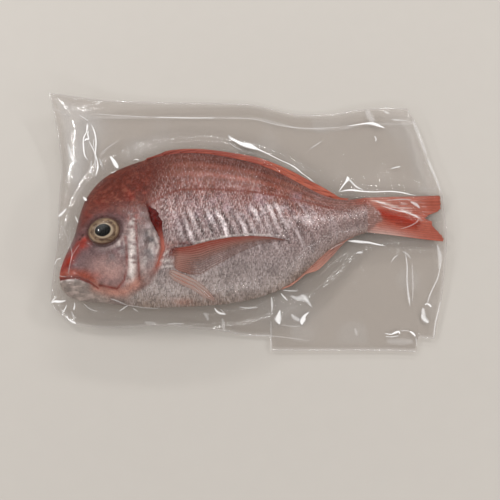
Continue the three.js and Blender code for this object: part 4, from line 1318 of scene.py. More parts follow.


# Painted glints on the film's folds, read off the photograph, which is PHOTO_PIXELS wide and high: strength,
# then column, row and width in pixels of the places along each.
GLINT_PIXELS = [
    (1, [(110, 156, 1.5), (113, 160, 4), (116, 165, 5), (118.5, 169, 1)]),
    (0.95, [(133, 160.5, 0.8), (136, 159.3, 2.4), (139, 160.5, 1.2)]),
    (0.8, [(90.5, 123, 0.6), (93, 128, 1.4), (95, 134, 1.8), (96, 141, 1.9), (95.8, 148, 1.6),
        (95.5, 154, 1.4), (97, 160, 1.4), (98, 167, 1.9), (96.5, 173, 1.6), (95.5, 178, 0.6)]),
    (0.65, [(88.5, 140, 0.8), (91, 145, 1.2), (94, 151, 1.5), (95.3, 157, 1.3), (95, 164, 1.1),
        (96, 170, 0.8)]),
    (0.5, [(94.5, 138, 0.5), (93.5, 144, 1.1), (95, 150, 0.6)]),
    (0.85, [(87.5, 122.5, 1.2), (87.3, 126.5, 2.6), (86.5, 132, 1.3), (84, 137, 1.7), (83.3, 141, 1.5),
        (83.5, 146, 1.9), (84, 152, 1.7), (85.5, 157, 1.3), (89, 161, 0.6)]),
    (0.85, [(84, 141.5, 1.2), (86.5, 139, 2.6), (88.7, 139.3, 2), (87.8, 134, 1.5), (88.5, 130, 0.8)]),
    (0.45, [(79, 115, 0.6), (84, 118, 1.5), (88.5, 121, 1)]),
    (0.3, [(67.5, 142, 1.5), (70, 151, 4.5), (73, 158, 7.5), (76, 164, 2.5)]),
    (0.55, [(69.5, 147, 0.8), (70.2, 153, 2.4), (71, 159, 1)]),
    (0.4, [(91.5, 160, 1), (91, 168, 2), (92.5, 175, 1)]),
    (0.35, [(99, 158, 1), (101, 163, 2.4), (102.5, 167, 1)]),
    (0.2, [(99, 156, 0.8), (104, 151, 1.4), (110, 146, 1.4), (119, 140.5, 0.8)]),
    (0.6, [(110.5, 172.5, 0.8), (113, 172.5, 2.2), (116.5, 170.5, 0.8)]),
    (1, [(228.3, 134, 1.2), (230.5, 138, 4), (236, 141, 3.6), (242, 144, 6), (249, 145.8, 8.5),
        (254, 147.8, 6), (259, 149.8, 2.4), (266, 153, 1.6), (280, 160, 1.6), (290, 164.5, 1.9),
        (297, 169, 3), (303, 174, 3), (310, 179, 2.4), (315, 183, 0.8)]),
    (0.45, [(229, 142, 0.6), (235, 147, 1.3), (243, 150.3, 1)]),
    (0.3, [(94, 114, 0.8), (110, 115, 1.2), (127, 116, 1.2), (152, 117.2, 1)]),
    (0.5, [(152, 117.2, 0.9), (170, 117.6, 1.4), (190, 118, 1.6), (205, 118, 1.4), (217, 118, 0.9)]),
    (0.28, [(220, 118.3, 0.9), (235, 118.2, 1.2), (250, 118.7, 1.2), (262, 121, 1.2), (280, 125.5, 1.4),
        (300, 128, 1.4), (315, 128.3, 1.2), (335, 127.6, 1.1), (347, 126, 1)]),
    (0.3, [(310, 149, 0.7), (316, 145, 1.5), (322, 141, 0.7)]),
    (0.8, [(347, 176.3, 1.4), (347.8, 179, 4.6), (345.5, 182.5, 2.4), (342, 187, 1.8), (338.5, 192, 0.8)]),
    (0.55, [(348, 178.5, 2.6), (352, 182.5, 2.6), (357, 187.2, 2.6), (364, 190.2, 1.2)]),
    (1, [(337, 192.4, 0.8), (345, 190.6, 2), (353, 190.1, 3), (362, 191.3, 2.3), (374, 191.9, 1.8),
        (390, 191.4, 1.9), (400, 192.3, 2.1), (408, 194, 1.7), (417, 195.9, 0.7)]),
    (0.95, [(345, 126.3, 0.6), (356, 124.9, 1.2), (364, 123.7, 1.9), (371, 123.4, 3.6), (376, 124.5, 4),
        (381, 126.6, 2.2), (385.5, 128.2, 0.8)]),
    (0.22, [(366, 110, 4), (370, 117, 8), (374, 122, 6)]),
    (0.5, [(384, 110.8, 1.2), (386, 112.3, 2.3), (389.5, 113.7, 1)]),
    (0.35, [(391, 119.4, 1), (397, 120, 2.4), (404, 120.6, 1.1), (411, 121.2, 0.6)]),
    (0.45, [(374.5, 136, 1.3), (376, 139, 2.2), (375.3, 141.5, 1)]),
    (0.6, [(390.5, 168.8, 0.8), (396, 167.4, 1.7), (400.3, 166.6, 1.8)]),
    (0.26, [(413, 120, 3), (417, 130, 4.5), (422, 143, 4.5), (427, 157, 3)]),
    (0.26, [(427, 157, 2.5), (433, 172, 3.4), (438, 184, 3), (441, 193, 1.6)]),
    (0.9, [(347, 241, 0.8), (355, 241.3, 2.5), (361, 242, 2.7), (369, 242.6, 2), (378, 244.5, 1.4),
        (386, 246.2, 0.6)]),
    (0.6, [(356.5, 252.8, 0.8), (360, 252.5, 2.8), (363, 252.5, 1)]),
    (0.35, [(391, 262.5, 0.6), (394, 258, 1.8), (398.5, 254.5, 0.8)]),
    (0.25, [(402, 251, 1), (407, 254, 2.4), (411, 259, 1)]),
    (0.45, [(405, 249, 0.8), (407, 265, 1.6), (407, 280, 1.7), (408, 292, 2.2), (409, 299, 2.6),
        (410, 307, 0.8)]),
    (0.22, [(412, 262, 1), (413, 285, 1.8), (412, 303, 1)]),
    (0.3, [(437, 244, 1.5), (440, 256, 5), (439.5, 270, 2)]),
    (0.4, [(441, 262, 0.8), (438, 277, 1.6), (434, 286, 1.6), (429.5, 296, 1.6), (427, 305, 1)]),
    (0.7, [(424.5, 305, 1.2), (427, 303.8, 2), (430, 305.3, 2.8), (431, 307.5, 1)]),
    (0.5, [(423, 307, 2.5), (423.3, 313, 5), (424, 318, 6), (427, 321.5, 5), (429, 323, 1)]),
    (0.6, [(421.5, 314, 1), (423, 318, 4), (425.5, 320.5, 3.5), (428.5, 322.3, 1)]),
    (0.38, [(441, 300, 0.8), (438, 312, 1.5), (435, 325, 1.5), (433.5, 340, 0.9)]),
    (0.9, [(384, 333.3, 0.8), (391, 334.3, 1.2), (395, 332.7, 2.6), (399, 331.7, 2.4), (399.6, 334.5, 1)]),
    (0.55, [(385, 336.5, 0.8), (392, 336.8, 1.1), (399, 335.6, 1)]),
    (0.35, [(400, 331, 0.8), (405, 330.6, 1.1), (410, 331.2, 0.9)]),
    (0.9, [(409.5, 331.2, 1), (413, 333.4, 2.8), (415.5, 336.6, 1.2)]),
    (0.35, [(415.6, 337, 0.8), (416.4, 342, 1.3), (417, 346.5, 0.8)]),
    (0.12, [(386, 341, 5), (400, 341.5, 9), (414, 341.5, 5)]),
    (1, [(280, 309.5, 0.8), (279.2, 314, 4), (278, 319, 8.4), (279, 322.5, 4), (279.5, 324.5, 1)]),
    (1, [(309.5, 311.8, 1), (305, 315.5, 3), (303.3, 319, 6), (301.8, 322, 5), (302, 325.2, 1)]),
    (0.4, [(291, 314, 2), (295, 318, 5.5), (300, 320.5, 4)]),
    (0.45, [(290, 295.5, 2), (297, 298.5, 5), (304, 298, 8.5), (308, 302, 4.4), (312.5, 308, 0.8)]),
    (0.6, [(301, 295, 1.5), (305, 298, 3.4), (309, 303, 1.5)]),
    (0.7, [(280.7, 293, 0.9), (284, 297, 2.1), (287.8, 300.8, 0.8)]),
    (0.6, [(271.3, 296, 0.9), (272, 303, 3.2), (272, 309, 1.6), (271.5, 313, 0.7)]),
    (0.55, [(282.5, 290.4, 0.6), (290, 290.8, 1.3), (298, 291, 0.6)]),
    (0.33, [(271, 320, 0.8), (271, 336, 1.2), (271, 352, 0.9)]),
    (0.22, [(238, 335, 0.8), (255, 335.6, 1.2), (271, 336, 1.2), (290, 338, 1.2), (312, 341.3, 0.8)]),
    (0.25, [(281, 324.7, 0.8), (293, 326.3, 1.2), (301, 326, 0.8)]),
    (0.2, [(355, 328, 1.5), (356, 332, 3.5), (357, 336, 1.5)]),
    (0.8, [(58, 217, 2.2), (61, 214.5, 3.2), (64, 211.5, 2.5), (66.8, 208.2, 0.9)]),
    (0.95, [(83, 197, 1.2), (85, 199, 3.6), (86.8, 200.8, 1)]),
    (0.6, [(75, 216, 0.9), (76.5, 219, 2.2), (78.3, 223, 1.1)]),
    (0.22, [(58.5, 220, 0.6), (62, 227, 1), (67, 236, 1), (68, 245, 1), (66, 250, 0.9), (61, 256, 0.7)]),
    (0.26, [(69, 222, 0.7), (70, 232, 1), (69.5, 240, 1), (71, 248, 1.1), (72, 255, 1.1), (70.5, 262, 1.1),
        (69, 270, 1), (69, 277.5, 0.7)]),
    (0.2, [(80, 243.5, 0.7), (75.5, 250, 1), (72, 256, 1.1), (71, 262, 0.8)]),
    (0.75, [(54.7, 265, 1.2), (56, 261.5, 1.8), (58, 259, 1.5), (61.5, 258.3, 0.8)]),
    (0.25, [(58.5, 275, 0.7), (62, 276.5, 1.2), (66.5, 276.6, 0.8)]),
    (0.95, [(50.8, 303.5, 1), (54, 301.5, 2.6), (58, 301.6, 3.2), (62, 301.5, 2.3), (66.5, 300.3, 0.8)]),
    (0.7, [(56.8, 296.2, 0.8), (53.5, 299.5, 1.8), (51.5, 303, 1)]),
    (0.85, [(66.7, 304.7, 0.9), (65, 309, 1.7), (62, 313.2, 0.9)]),
    (0.9, [(74.5, 302.5, 0.8), (74.7, 306, 1.7), (73.5, 310, 2.2)]),
    (0.8, [(65, 315, 0.8), (69, 319.5, 1.7), (73, 322, 3), (76.5, 323.8, 0.8)]),
    (0.25, [(71, 311, 2), (73.5, 316, 3.6), (74.5, 321, 2)]),
    (0.3, [(83, 303, 0.8), (90, 309, 1.5), (98, 311.5, 0.8)]),
    (0.45, [(128, 305.5, 0.7), (124, 308, 1.3), (119.5, 311, 0.8)]),
    (0.35, [(132.5, 308, 0.8), (135, 309.7, 1.4), (138, 311.3, 0.8)]),
    (0.22, [(127, 305, 0.7), (143, 307.6, 1.1), (161, 308.7, 0.7)]),
    (0.25, [(110, 298.5, 0.8), (116, 300.5, 1.7), (122, 303, 1.3), (129, 306.3, 0.7)]),
    (0.9, [(214.3, 307.5, 0.8), (217, 311.5, 2.2), (221, 313.5, 2.2), (226.3, 314.2, 0.9)]),
    (0.4, [(220, 309, 0.7), (223, 311.5, 1.2), (225, 314, 0.7)]),
    (0.33, [(167, 324, 0.8), (175, 323.6, 1.6), (185, 323.8, 0.7)]),
    (0.22, [(203, 313, 2), (207, 316.5, 4.4), (208, 321, 1.5)]),
    (0.22, [(222, 318, 1.5), (223.5, 324, 4), (224, 331, 2)]),
    (0.5, [(239, 306.8, 0.6), (248, 308, 1.2), (258, 307.5, 0.6)]),
    (0.2, [(144, 322, 1.5), (150, 323, 3.6), (157, 323, 1.5)]),
    (0.5, [(375.5, 200.7, 0.6), (380, 202.6, 1.7), (386, 203.8, 0.8)]),
    (0.4, [(380, 205.3, 0.6), (388, 208, 1.1), (397, 210.5, 1.5), (408, 213, 1.8), (416, 216.3, 2),
        (419.5, 217.8, 1)]),
    (0.22, [(419.5, 218, 1), (416.5, 222, 1.5), (410, 226, 1.3), (400, 229, 0.8)]),
    (0.4, [(410, 201.5, 1.5), (416, 204.5, 4.5), (420, 208.5, 1.2)]),
    (0.3, [(386, 200.5, 0.7), (400, 199.5, 1.3), (412, 199.8, 0.7)]),
    (0.28, [(330, 250, 0.6), (336, 246, 1), (343, 243, 0.6)]),
]


def fold_field(x, y):
    """Sum of the folds: each a ridge whose height tapers to nothing at both ends."""
    total = np.zeros_like(x)
    for (ax, ay), (bx, by), width, height in FOLDS:
        length = math.hypot(bx - ax, by - ay)
        t = ((x - ax) * (bx - ax) + (y - ay) * (by - ay)) / length ** 2
        off = ((x - ax) * (by - ay) - (y - ay) * (bx - ax)) / length
        off = off + 1.2 * np.sin(t * 7 + ax)
        taper = np.clip(t * (1 - t) * 4, 0, 1) ** 0.7
        total += height * taper * np.exp(-np.abs(off / width) ** 1.5)
    return total


def outline_places(x, y):
    """The run along the fish's outline to the place nearest to each point, and how far off that is."""
    t = np.linspace(0.2, LAST, 170)
    line = spline(SECTIONS, t)
    tail = [TAIL_UPPER, TAIL_FORK, TAIL_LOWER]
    outline = np.concatenate([line[:, :2], tail, line[::-1, 2:4]])
    run = np.concatenate([[0], np.cumsum(np.linalg.norm(np.diff(outline, axis=0), axis=1))])
    arc = np.zeros(x.shape)
    away = np.full(x.shape, 1e9)
    for i in range(len(outline) - 1):
        share, gap = nearest_on(outline[i], outline[i + 1], x, y)
        nearer = gap < away
        arc = np.where(nearer, run[i] + share * (run[i + 1] - run[i]), arc)
        away = np.where(nearer, gap, away)
    return arc, away


def build_film(top, under, bag):
    """Clear envelope: an upper and a lower sheet on one grid, shrunk on the fish and pressed flat round it.

    The margin's middle height is relaxed between the fish's edge and the bag's edge. The upper sheet is the
    larger of fish and margin, eased where it would be hollow, and the lower sheet the smaller of them.
    """
    columns, rows = bag.columns, bag.rows
    plan = bag_plan(columns, rows)
    x, y = plan[..., 0], plan[..., 1]
    covered = top.height > -500
    filled = np.where(covered, top.height, -1e3)
    ceiling = spread(filled, 2)
    floor = spread(np.where(under.height < 500, under.height, 1e3), 2, largest=False)
    high = top.at(x, y, ceiling)
    low = top.at(x, y, floor)
    on_fish = top.at(x, y, spread(covered.astype(float), 1)) > 0.5
    level = axis_height(x)
    edge = plan[..., 2]
    middle = np.where(on_fish, level, edge)
    border = np.zeros_like(on_fish)
    border[[0, -1]] = True
    border[:, [0, -1]] = True
    least_height = 0.7
    sag = 0.05
    relaxing_rounds = 500
    for _ in range(relaxing_rounds):
        mean = sum(around(middle)) / 4
        mean = mean - sag * smooth(least_height, 5.0, mean)
        middle = np.where(on_fish, level, np.where(border, edge, np.maximum(mean, least_height)))
    arc, away = outline_places(x, y)
    along = Places(arc, np.zeros_like(arc))
    spacing = 9.5
    tension = 1 - np.abs(np.sin(np.pi * (arc / spacing + 0.8 * along.noise(31, 81)))) ** 0.55
    strength = np.clip(0.9 + 1.1 * along.noise(47, 82), 0.1, 2)
    folds = fold_field(x, y) + 0.6 * tension * strength * smooth(0.5, 5, away) * np.exp(-away / 11)
    from_ends = np.minimum(np.arange(columns), np.arange(columns)[::-1])
    from_sides = np.minimum(np.arange(rows), np.arange(rows)[::-1])
    rim = np.minimum(from_ends[:, None], from_sides[None, :])
    loose = smooth(0, 7, rim)
    ripple = 0.7 * noise(x, y, 24, 71) + 0.3 * noise(x, y, 11, 72)
    middle = middle + np.where(on_fish, 0, loose * (ripple * 0.9 + folds * 0.5))
    middle = np.maximum(middle, least_height)
    skin = 0.28
    upper = np.maximum(middle + skin, np.where(on_fish | (high > 0), high + 0.3, -1e3))
    lower = np.minimum(middle - skin, np.where(low < 900, low - 0.25, 1e3))
    obstacle = upper.copy()
    ground = lower.copy()
    easing_rounds = 60
    for _ in range(easing_rounds):
        mean = sum(around(upper)) / 4
        upper = np.where(border, upper, np.maximum(obstacle, mean * 0.96 + upper * 0.04))
        lower = np.where(border, lower, np.minimum(ground, sum(around(lower)) / 4))
    cling = 0.10 * noise(x, y, 5.2, 73) + 0.16 * noise(x, y, 11, 74)
    upper = upper + np.where(on_fish, np.maximum(0, folds * 0.34 + cling * loose + 0.05), 0)
    lower = np.maximum(lower, 0.0)
    upper = np.maximum(upper, lower + 0.25)
    down = plan[:, -1:, 1] - y
    seal = np.exp(-(((down - 13.3) / 0.9) ** 2))
    upper = upper + 0.25 * seal * loose
    haze = np.clip(0.55 * seal * (0.6 + 0.5 * noise(x, y, 14, 91)) + 0.5 * smooth(1.5, 0.2, rim), 0, 1)
    haze += 0.14 * smooth(0.2, 0.8, noise(x, y, 24, 92)) * loose * (1 - on_fish) * smooth(2, 12, away)
    milky = spot(x, y, -151, 88, 22, 22) + spot(x, y, -150, 52, 7, 26, 6)
    milky += 0.7 * spot(x, y, -163, 105, 26, 12, -20)
    milky += 0.5 * spot(x, y, 160, 62, 8, 40, 10) + 0.4 * spot(x, y, 40, -78, 26, 14)
    haze += 0.5 * np.clip(milky, 0, 1) * loose * (1 - on_fish)
    points = np.concatenate([point_list(x, y, upper), point_list(x, y, lower)])
    gathered = smooth(0.3, 4, away) * np.exp(-away / 14) * loose * (1 - on_fish)
    marks = {
        "crease": np.clip(folds * 0.35, 0, 1),
        "cling": blur(on_fish.astype(float), 3),
        "haze": haze,
        "arc": arc,
        "away": away,
        "near": gathered,
    }
    marks = [(title, np.tile(values.ravel(), 2)) for title, values in marks.items()]
    faces = sheet_faces(columns, rows)
    return finish_mesh("bag_film", points, faces, film_material(bag), None, marks)


def glint_places(pixels, tree):
    """Plan places and widths of a painted glint: its pixels' rays, followed down to the height of the film.
    """
    tilt = math.radians(CAMERA["elevation"])
    sight = np.array([0, math.cos(tilt), -math.sin(tilt)])
    right = np.array([1.0, 0, 0])
    upward = np.array([0, math.sin(tilt), math.cos(tilt)])
    eye = np.array(CAMERA["aim"]) - sight * CAMERA["distance"]
    margin_height = 8.0
    places = []
    for column, row, width in pixels:
        ray = (column - PHOTO_PIXELS / 2) * right + (PHOTO_PIXELS / 2 - row) * upward
        ray = sight + ray / CAMERA["focal_px"]
        start = mathutils.Vector((eye - ORIGIN) * MM)
        hit = tree.ray_cast(start, mathutils.Vector(ray))[0]
        if hit is None:
            past = eye + ray * (margin_height - eye[2]) / ray[2]
            hit = tree.find_nearest(mathutils.Vector((past - ORIGIN) * MM))[0]
        point = eye + ray * (hit.z / MM - eye[2]) / ray[2]
        depth = (point - eye) @ sight
        places.append((point[0], point[1], width * depth / CAMERA["focal_px"]))
    return np.array(places)


def build_painted_glints(film):
    """Painted glints on the film's folds: a thin strip along each line of the table, laid on the upper sheet.

    Each strip is five points across, as wide as its pixels say, and drops from above onto the film.
    """
    mesh = film.data
    corners = [vertex.co.copy() for vertex in mesh.vertices]
    tree = BVHTree.FromPolygons(corners, [tuple(face.vertices) for face in mesh.polygons])
    down = mathutils.Vector((0, 0, -1))
    above = 0.2
    lift = 0.12
    columns = 5
    across = np.linspace(-1, 1, columns)
    parts = []
    uvs = []
    strengths = []
    for strength, pixels in GLINT_PIXELS:
        line = glint_places(pixels, tree)
        length = np.hypot(*np.diff(line[:, :2], axis=0).T).sum()
        steps = max(8, int(length / 1.3))
        path = spline(line, np.linspace(0, len(line) - 1, steps))
        ahead = np.gradient(path[:, :2], axis=0)
        ahead /= np.linalg.norm(ahead, axis=1, keepdims=True) + 1e-9
        half = path[:, 2:3] / 2 * across
        x = path[:, :1] - ahead[:, 1:] * half
        y = path[:, 1:2] + ahead[:, :1] * half
        z = np.zeros_like(x)
        for place in np.ndindex(x.shape):
            start = mathutils.Vector(((x[place] - ORIGIN[0]) * MM, (y[place] - ORIGIN[1]) * MM, above))
            hit = tree.ray_cast(start, down)[0]
            z[place] = hit.z / MM + lift if hit else np.nan
        z = np.where(np.isnan(z), np.nanmean(z), z)
        parts.append((point_list(x, y, z), grid_faces(steps, columns)[:, ::-1]))
        u, v = np.meshgrid(np.linspace(0, 1, steps), across, indexing="ij")
        uvs.append(np.stack([u, v], -1).reshape(-1, 2))
        strengths.append(np.full(u.size, strength))
    points, faces = join(parts)
    marks = [("strength", np.concatenate(strengths))]
    uv = np.concatenate(uvs)
    return finish_mesh("bag_creases", points, faces, glint_material(), uv, marks)


# Settings.


def colour_property(title, words, value):
    return FloatVectorProperty(
        name=title, description=words, default=value, size=3, subtype="COLOR", min=0, max=1,
    )


class FishSizes(bpy.types.PropertyGroup):
    head_rings: IntProperty(name="Head rings", description="Rings from snout to gill edge", default=170)
    trunk_rings: IntProperty(name="Trunk rings", description="Rings from gill edge to tail root", default=225)
    upper_columns: IntProperty(name="Upper columns", description="Steps across the upper flank", default=180)
    lower_columns: IntProperty(name="Lower columns", description="Steps across the underside", default=56)


class FishColours(bpy.types.PropertyGroup):
    belly_edge: colour_property("Belly edge", "Lowest edge of the belly", (0.28, 0.212, 0.172))
    belly: colour_property("Belly", "Cream belly", (0.40, 0.34, 0.322))
    belly_grey: colour_property("Lower flank", "Silver grey lower flank", (0.30, 0.248, 0.243))
    flank: colour_property("Flank", "Silver pink flank", (0.28, 0.202, 0.201))
    flank_pink: colour_property("Upper flank", "Pinker upper flank", (0.285, 0.148, 0.140))
    lateral: colour_property("Lateral line", "Skin along the lateral line", (0.25, 0.078, 0.058))
    back: colour_property("Back", "Red brown back", (0.245, 0.068, 0.044))
    back_dark: colour_property("Upper back", "Dark red upper back", (0.175, 0.047, 0.032))
    ridge: colour_property("Ridge", "Darkest ridge of the back", (0.12, 0.036, 0.028))
    peduncle: colour_property("Tail stem", "Stem of the tail", (0.29, 0.168, 0.148))
    # On the flank's streaks and blots this bright colour is partly the silver's own, partly painted
    # highlight.
    streak: colour_property("Streaks", "Bright streaks of the flank", (0.95, 0.86, 0.89))
    shoulder: colour_property("Shoulder", "Pale shoulder behind the gill", (0.33, 0.20, 0.185))
    nape: colour_property("Nape", "Dark red brown nape and forehead", (0.125, 0.023, 0.0135))
    tan: colour_property("Tan speckle", "Tan speckles of brow and back", (0.26, 0.100, 0.066))
    lilac: colour_property("Lilac sheen", "Lilac sheen of the upper flank", (0.44, 0.33, 0.40))
    lateral_line: colour_property("Lateral line scales", "Red line along the flank", (0.20, 0.045, 0.030))
    front_red: colour_property("Front of the snout", "Orange red stroke before the eye", (0.34, 0.028, 0.012))
    lip: colour_property("Upper lip", "Salmon red upper lip", (0.36, 0.085, 0.055))
    # Also laid as painted glints: on the lower jaw's edge, in the pale band before the gill cover and at the
    # pectoral fin's base.
    white: colour_property("Silver white", "Silver white of bare bone plates", (0.90, 0.83, 0.80))
    gill_blue: colour_property("Blue silver", "Blue grey of cheek and gill cover", (0.235, 0.225, 0.235))
    gill_edge: colour_property("Gill edge", "Orange red lower edge of the gill opening", (0.50, 0.16, 0.12))
    snout: colour_property("Snout", "Orange red snout and lips", (0.29, 0.016, 0.006))
    cheek: colour_property("Cheek", "Purple silver cheek", (0.150, 0.092, 0.100))
    cheek_low: colour_property("Lower cheek", "Pinkish lower cheek", (0.54, 0.33, 0.295))
    jaw: colour_property("Lower jaw", "Grey white lower jaw", (0.31, 0.26, 0.235))
    flange: colour_property("Gill flange", "Orange pink flange", (0.46, 0.215, 0.165))
    red_line: colour_property("Red seams", "Red seams between the plates of the head", (0.20, 0.045, 0.035))
    pale_band: colour_property("Pale band", "Pale band before the gill cover", (0.62, 0.50, 0.46))
    gill_cover: colour_property("Gill cover", "Blue grey silver gill cover", (0.26, 0.195, 0.19))
    gill_cover_low: colour_property("Lower gill cover", "Pinkish lower gill cover", (0.235, 0.120, 0.100))
    blood: colour_property("Blood red", "Gill membrane", (0.115, 0.0045, 0.003))
    clot: colour_property("Clot", "Darkest red of the gill membrane", (0.06, 0.006, 0.005))
    pelvic: colour_property("Pelvic skin", "Skin round the pelvic fin", (0.36, 0.255, 0.23))
    nostril: colour_property("Nostril", "Nostril pits", (0.05, 0.02, 0.016))
    orbit: colour_property("Eye rim", "Brown rim of the eye", (0.085, 0.038, 0.028))
    pupil: colour_property("Pupil", "Clouded dark pupil", (0.0015, 0.0015, 0.0018))
    iris_pale: colour_property("Inner ring", "Pale inner ring of the iris", (0.40, 0.32, 0.235))
    iris: colour_property("Iris", "Olive brown iris", (0.085, 0.048, 0.032))
    iris_gold: colour_property("Gold ring", "Pale gold outer ring", (0.33, 0.235, 0.150))
    fin_red: colour_property("Fin red", "Red fin rays", (0.25, 0.052, 0.036))
    fin_pink: colour_property("Fin pink", "Pink fin web", (0.43, 0.335, 0.305))
    fin_pale: colour_property("Fin pale", "Pale clear fin web", (0.37, 0.195, 0.162))
    dorsal_red: colour_property("Dorsal red", "Dark red of the folded dorsal fin", (0.30, 0.070, 0.052))
    dorsal_orange: colour_property("Dorsal orange", "Orange rear of the dorsal fin", (0.52, 0.14, 0.085))
    anal_fin: colour_property("Anal fin", "Pinkish folded anal fin", (0.56, 0.27, 0.21))
    tail_red: colour_property("Tail red", "Orange red of the tail", (0.37, 0.078, 0.045))
    tail_pale: colour_property("Tail pale", "Paler veil on the tail", (0.42, 0.150, 0.112))
    # Pale colour of the scales' rims and dashes: partly their silver, partly painted glints. The next colour
    # is painted shade.
    scale_rim_glint: colour_property("Scale rim", "Silver rear rim of each scale", (0.86, 0.79, 0.80))
    scale_shade: colour_property("Scale shade", "Shade where the next scale lies over", (0.085, 0.05, 0.048))
    floor: colour_property("Surface", "Pale surface under the pack", (0.50, 0.465, 0.425))


class BagSettings(bpy.types.PropertyGroup):
    columns: IntProperty(name="Columns", description="Grid points along the bag", default=276)
    rows: IntProperty(name="Rows", description="Grid points across the bag", default=176)
    gloss: FloatProperty(
        name="Gloss", description="How strongly the film reflects", default=1.0, min=0, max=4,
    )
    film_tint: colour_property("Film tint", "What the film lets through", (0.898, 0.880, 0.868))


FIELDS = {}


def fields():
    """The two height fields of the fish, made once."""
    if not FIELDS:
        FIELDS["top"] = TopField(1.0, 1)
        FIELDS["under"] = TopField(1.0, -1)
    return FIELDS["top"], FIELDS["under"]


def settle(piece):
    """Adds a finished piece's points to the height field, so that the film lies over it."""
    mesh = piece.data
    points = np.empty(len(mesh.vertices) * 3, np.float32)
    mesh.vertices.foreach_get("co", points)
    points = points.reshape(-1, 3) / MM + ORIGIN
    FIELDS["top"].add(points, 1)
    FIELDS["under"].add(points, -1)


class FISH_OT_body(bpy.types.Operator):
    """Build the body with head, flank relief and painted skin"""

    bl_idname = "fish.body"
    bl_label = "Body"

    def execute(self, context):
        fields()
        build_fish_body(context.scene.fish_sizes, context.scene.fish_colours)
        return {"FINISHED"}


class FISH_OT_head(bpy.types.Operator):
    """Build the eye and the gill membrane"""

    bl_idname = "fish.head"
    bl_label = "Eye and gill membrane"

    def execute(self, context):
        top, _ = fields()
        colours = context.scene.fish_colours
        settle(build_eye(top, colours))
        settle(build_gill_membrane(top, colours))
        return {"FINISHED"}


class FISH_OT_fins(bpy.types.Operator):
    """Build the paired fins, the folded edge fins and the tail fin"""

    bl_idname = "fish.fins"
    bl_label = "Fins"

    def execute(self, context):
        top, _ = fields()
        c = context.scene.fish_colours
        settle(build_pectoral_fin(top, c))
        settle(build_pelvic_fin(top, c))
        settle(build_edge_fin("dorsal_fin", DORSAL_FIN, 1, 12, c.dorsal_red, c.dorsal_orange))
        settle(build_edge_fin("anal_fin", ANAL_FIN, -1, 8, c.anal_fin, c.fin_pale))
        settle(build_tail_fin(c))
        return {"FINISHED"}


class FISH_OT_bag(bpy.types.Operator):
    """Build the clear film round the fish"""

    bl_idname = "fish.bag"
    bl_label = "Vacuum bag"

    def execute(self, context):
        top, under = fields()
        build_painted_glints(build_film(top, under, context.scene.fish_bag))
        return {"FINISHED"}


class FISH_OT_stage(bpy.types.Operator):
    """Build the surface, the lights and the camera"""

    bl_idname = "fish.stage"
    bl_label = "Stage"

    def execute(self, context):
        build_stage(context)
        return {"FINISHED"}


LIGHTS = [
    # place, size, watts, aim, all in plan millimetres
    ((-760, 740, 900), (460, 60), 5.0, (0, 0, 20)),
    ((800, 560, 860), (420, 60), 3.4, (20, 0, 20)),
    ((-1010, -260, 700), (560, 50), 3.4, (-30, -10, 20)),
    ((960, -420, 620), (480, 45), 2.4, (20, 0, 20)),
    ((160, -1040, 800), (620, 50), 3.4, (20, -10, 20)),
    ((60, 1100, 620), (640, 50), 3.6, (0, 0, 20)),
]


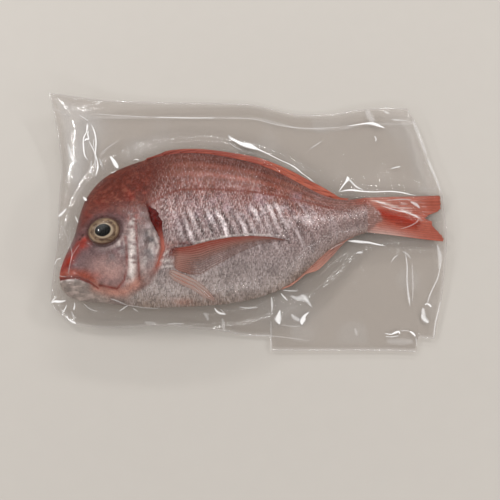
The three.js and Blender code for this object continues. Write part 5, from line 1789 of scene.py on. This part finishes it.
def build_stage(context):
    """Pale surface, soft lights and a camera at the photograph's viewing angle."""
    scene = context.scene
    mesh = bpy.data.meshes.new("floor")
    half = 3.0
    corners = [(-half, -half, 0), (half, -half, 0), (half, half, 0), (-half, half, 0)]
    mesh.from_pydata(corners, [], [(0, 1, 2, 3)])
    mesh.transform(mathutils.Matrix.Translation((0, 0, -0.0004)))
    mesh.materials.append(floor_material(scene.fish_colours))
    floor = bpy.data.objects.new("floor", mesh)
    scene.collection.objects.link(floor)

    def place(values):
        return mathutils.Vector([(v - o) * MM for v, o in zip(values, ORIGIN)])

    for i, (position, size, watts, aim) in enumerate(LIGHTS):
        data = bpy.data.lights.new(f"softbox_{i}", "AREA")
        data.shape = "RECTANGLE"
        data.size, data.size_y = size[0] * MM, size[1] * MM
        data.energy = watts
        lamp = bpy.data.objects.new(f"softbox_{i}", data)
        lamp.location = place(position)
        lamp.rotation_euler = (place(aim) - lamp.location).to_track_quat("-Z", "Y").to_euler()
        scene.collection.objects.link(lamp)
    world = bpy.data.worlds.new("studio")
    world.use_nodes = True
    world.node_tree.nodes["Background"].inputs[0].default_value = (1.0, 0.985, 0.965, 1)
    world.node_tree.nodes["Background"].inputs[1].default_value = 0.5
    scene.world = world
    scene.view_settings.view_transform = "Standard"
    elevation = math.radians(CAMERA["elevation"])
    forward = mathutils.Vector((0, math.cos(elevation), -math.sin(elevation)))
    data = bpy.data.cameras.new("camera")
    data.sensor_fit = "HORIZONTAL"
    data.sensor_width = 36.0
    data.lens = data.sensor_width * CAMERA["focal_px"] / PHOTO_PIXELS
    camera = bpy.data.objects.new("camera", data)
    camera.location = place(CAMERA["aim"]) - forward * CAMERA["distance"] * MM
    camera.rotation_euler = forward.to_track_quat("-Z", "Y").to_euler()
    scene.collection.objects.link(camera)
    scene.camera = camera


class FISH_PT_panel(bpy.types.Panel):
    """Lists the steps and their settings"""

    bl_idname = "FISH_PT_panel"
    bl_label = "Vacuum packed sea bream"
    bl_space_type = "VIEW_3D"
    bl_region_type = "UI"
    bl_category = "Fish"

    def draw(self, context):
        layout = self.layout
        for operator in OPERATORS:
            layout.operator(operator.bl_idname)
        for settings in (context.scene.fish_sizes, context.scene.fish_colours, context.scene.fish_bag):
            for name in settings.bl_rna.properties.keys():
                if name not in ("rna_type", "name"):
                    layout.prop(settings, name)


OPERATORS = (FISH_OT_body, FISH_OT_head, FISH_OT_fins, FISH_OT_bag, FISH_OT_stage)
CLASSES = (FishSizes, FishColours, BagSettings, *OPERATORS, FISH_PT_panel)


def register():
    for item in CLASSES:
        bpy.utils.register_class(item)
    bpy.types.Scene.fish_sizes = PointerProperty(type=FishSizes)
    bpy.types.Scene.fish_colours = PointerProperty(type=FishColours)
    bpy.types.Scene.fish_bag = PointerProperty(type=BagSettings)


def unregister():
    del bpy.types.Scene.fish_sizes
    del bpy.types.Scene.fish_colours
    del bpy.types.Scene.fish_bag
    for item in reversed(CLASSES):
        bpy.utils.unregister_class(item)


def main():
    """Registers the add-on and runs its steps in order."""
    register()
    operators = bpy.ops.fish
    for step in (operators.stage, operators.body, operators.head, operators.fins, operators.bag):
        step()


if __name__ == "__main__":
    main()
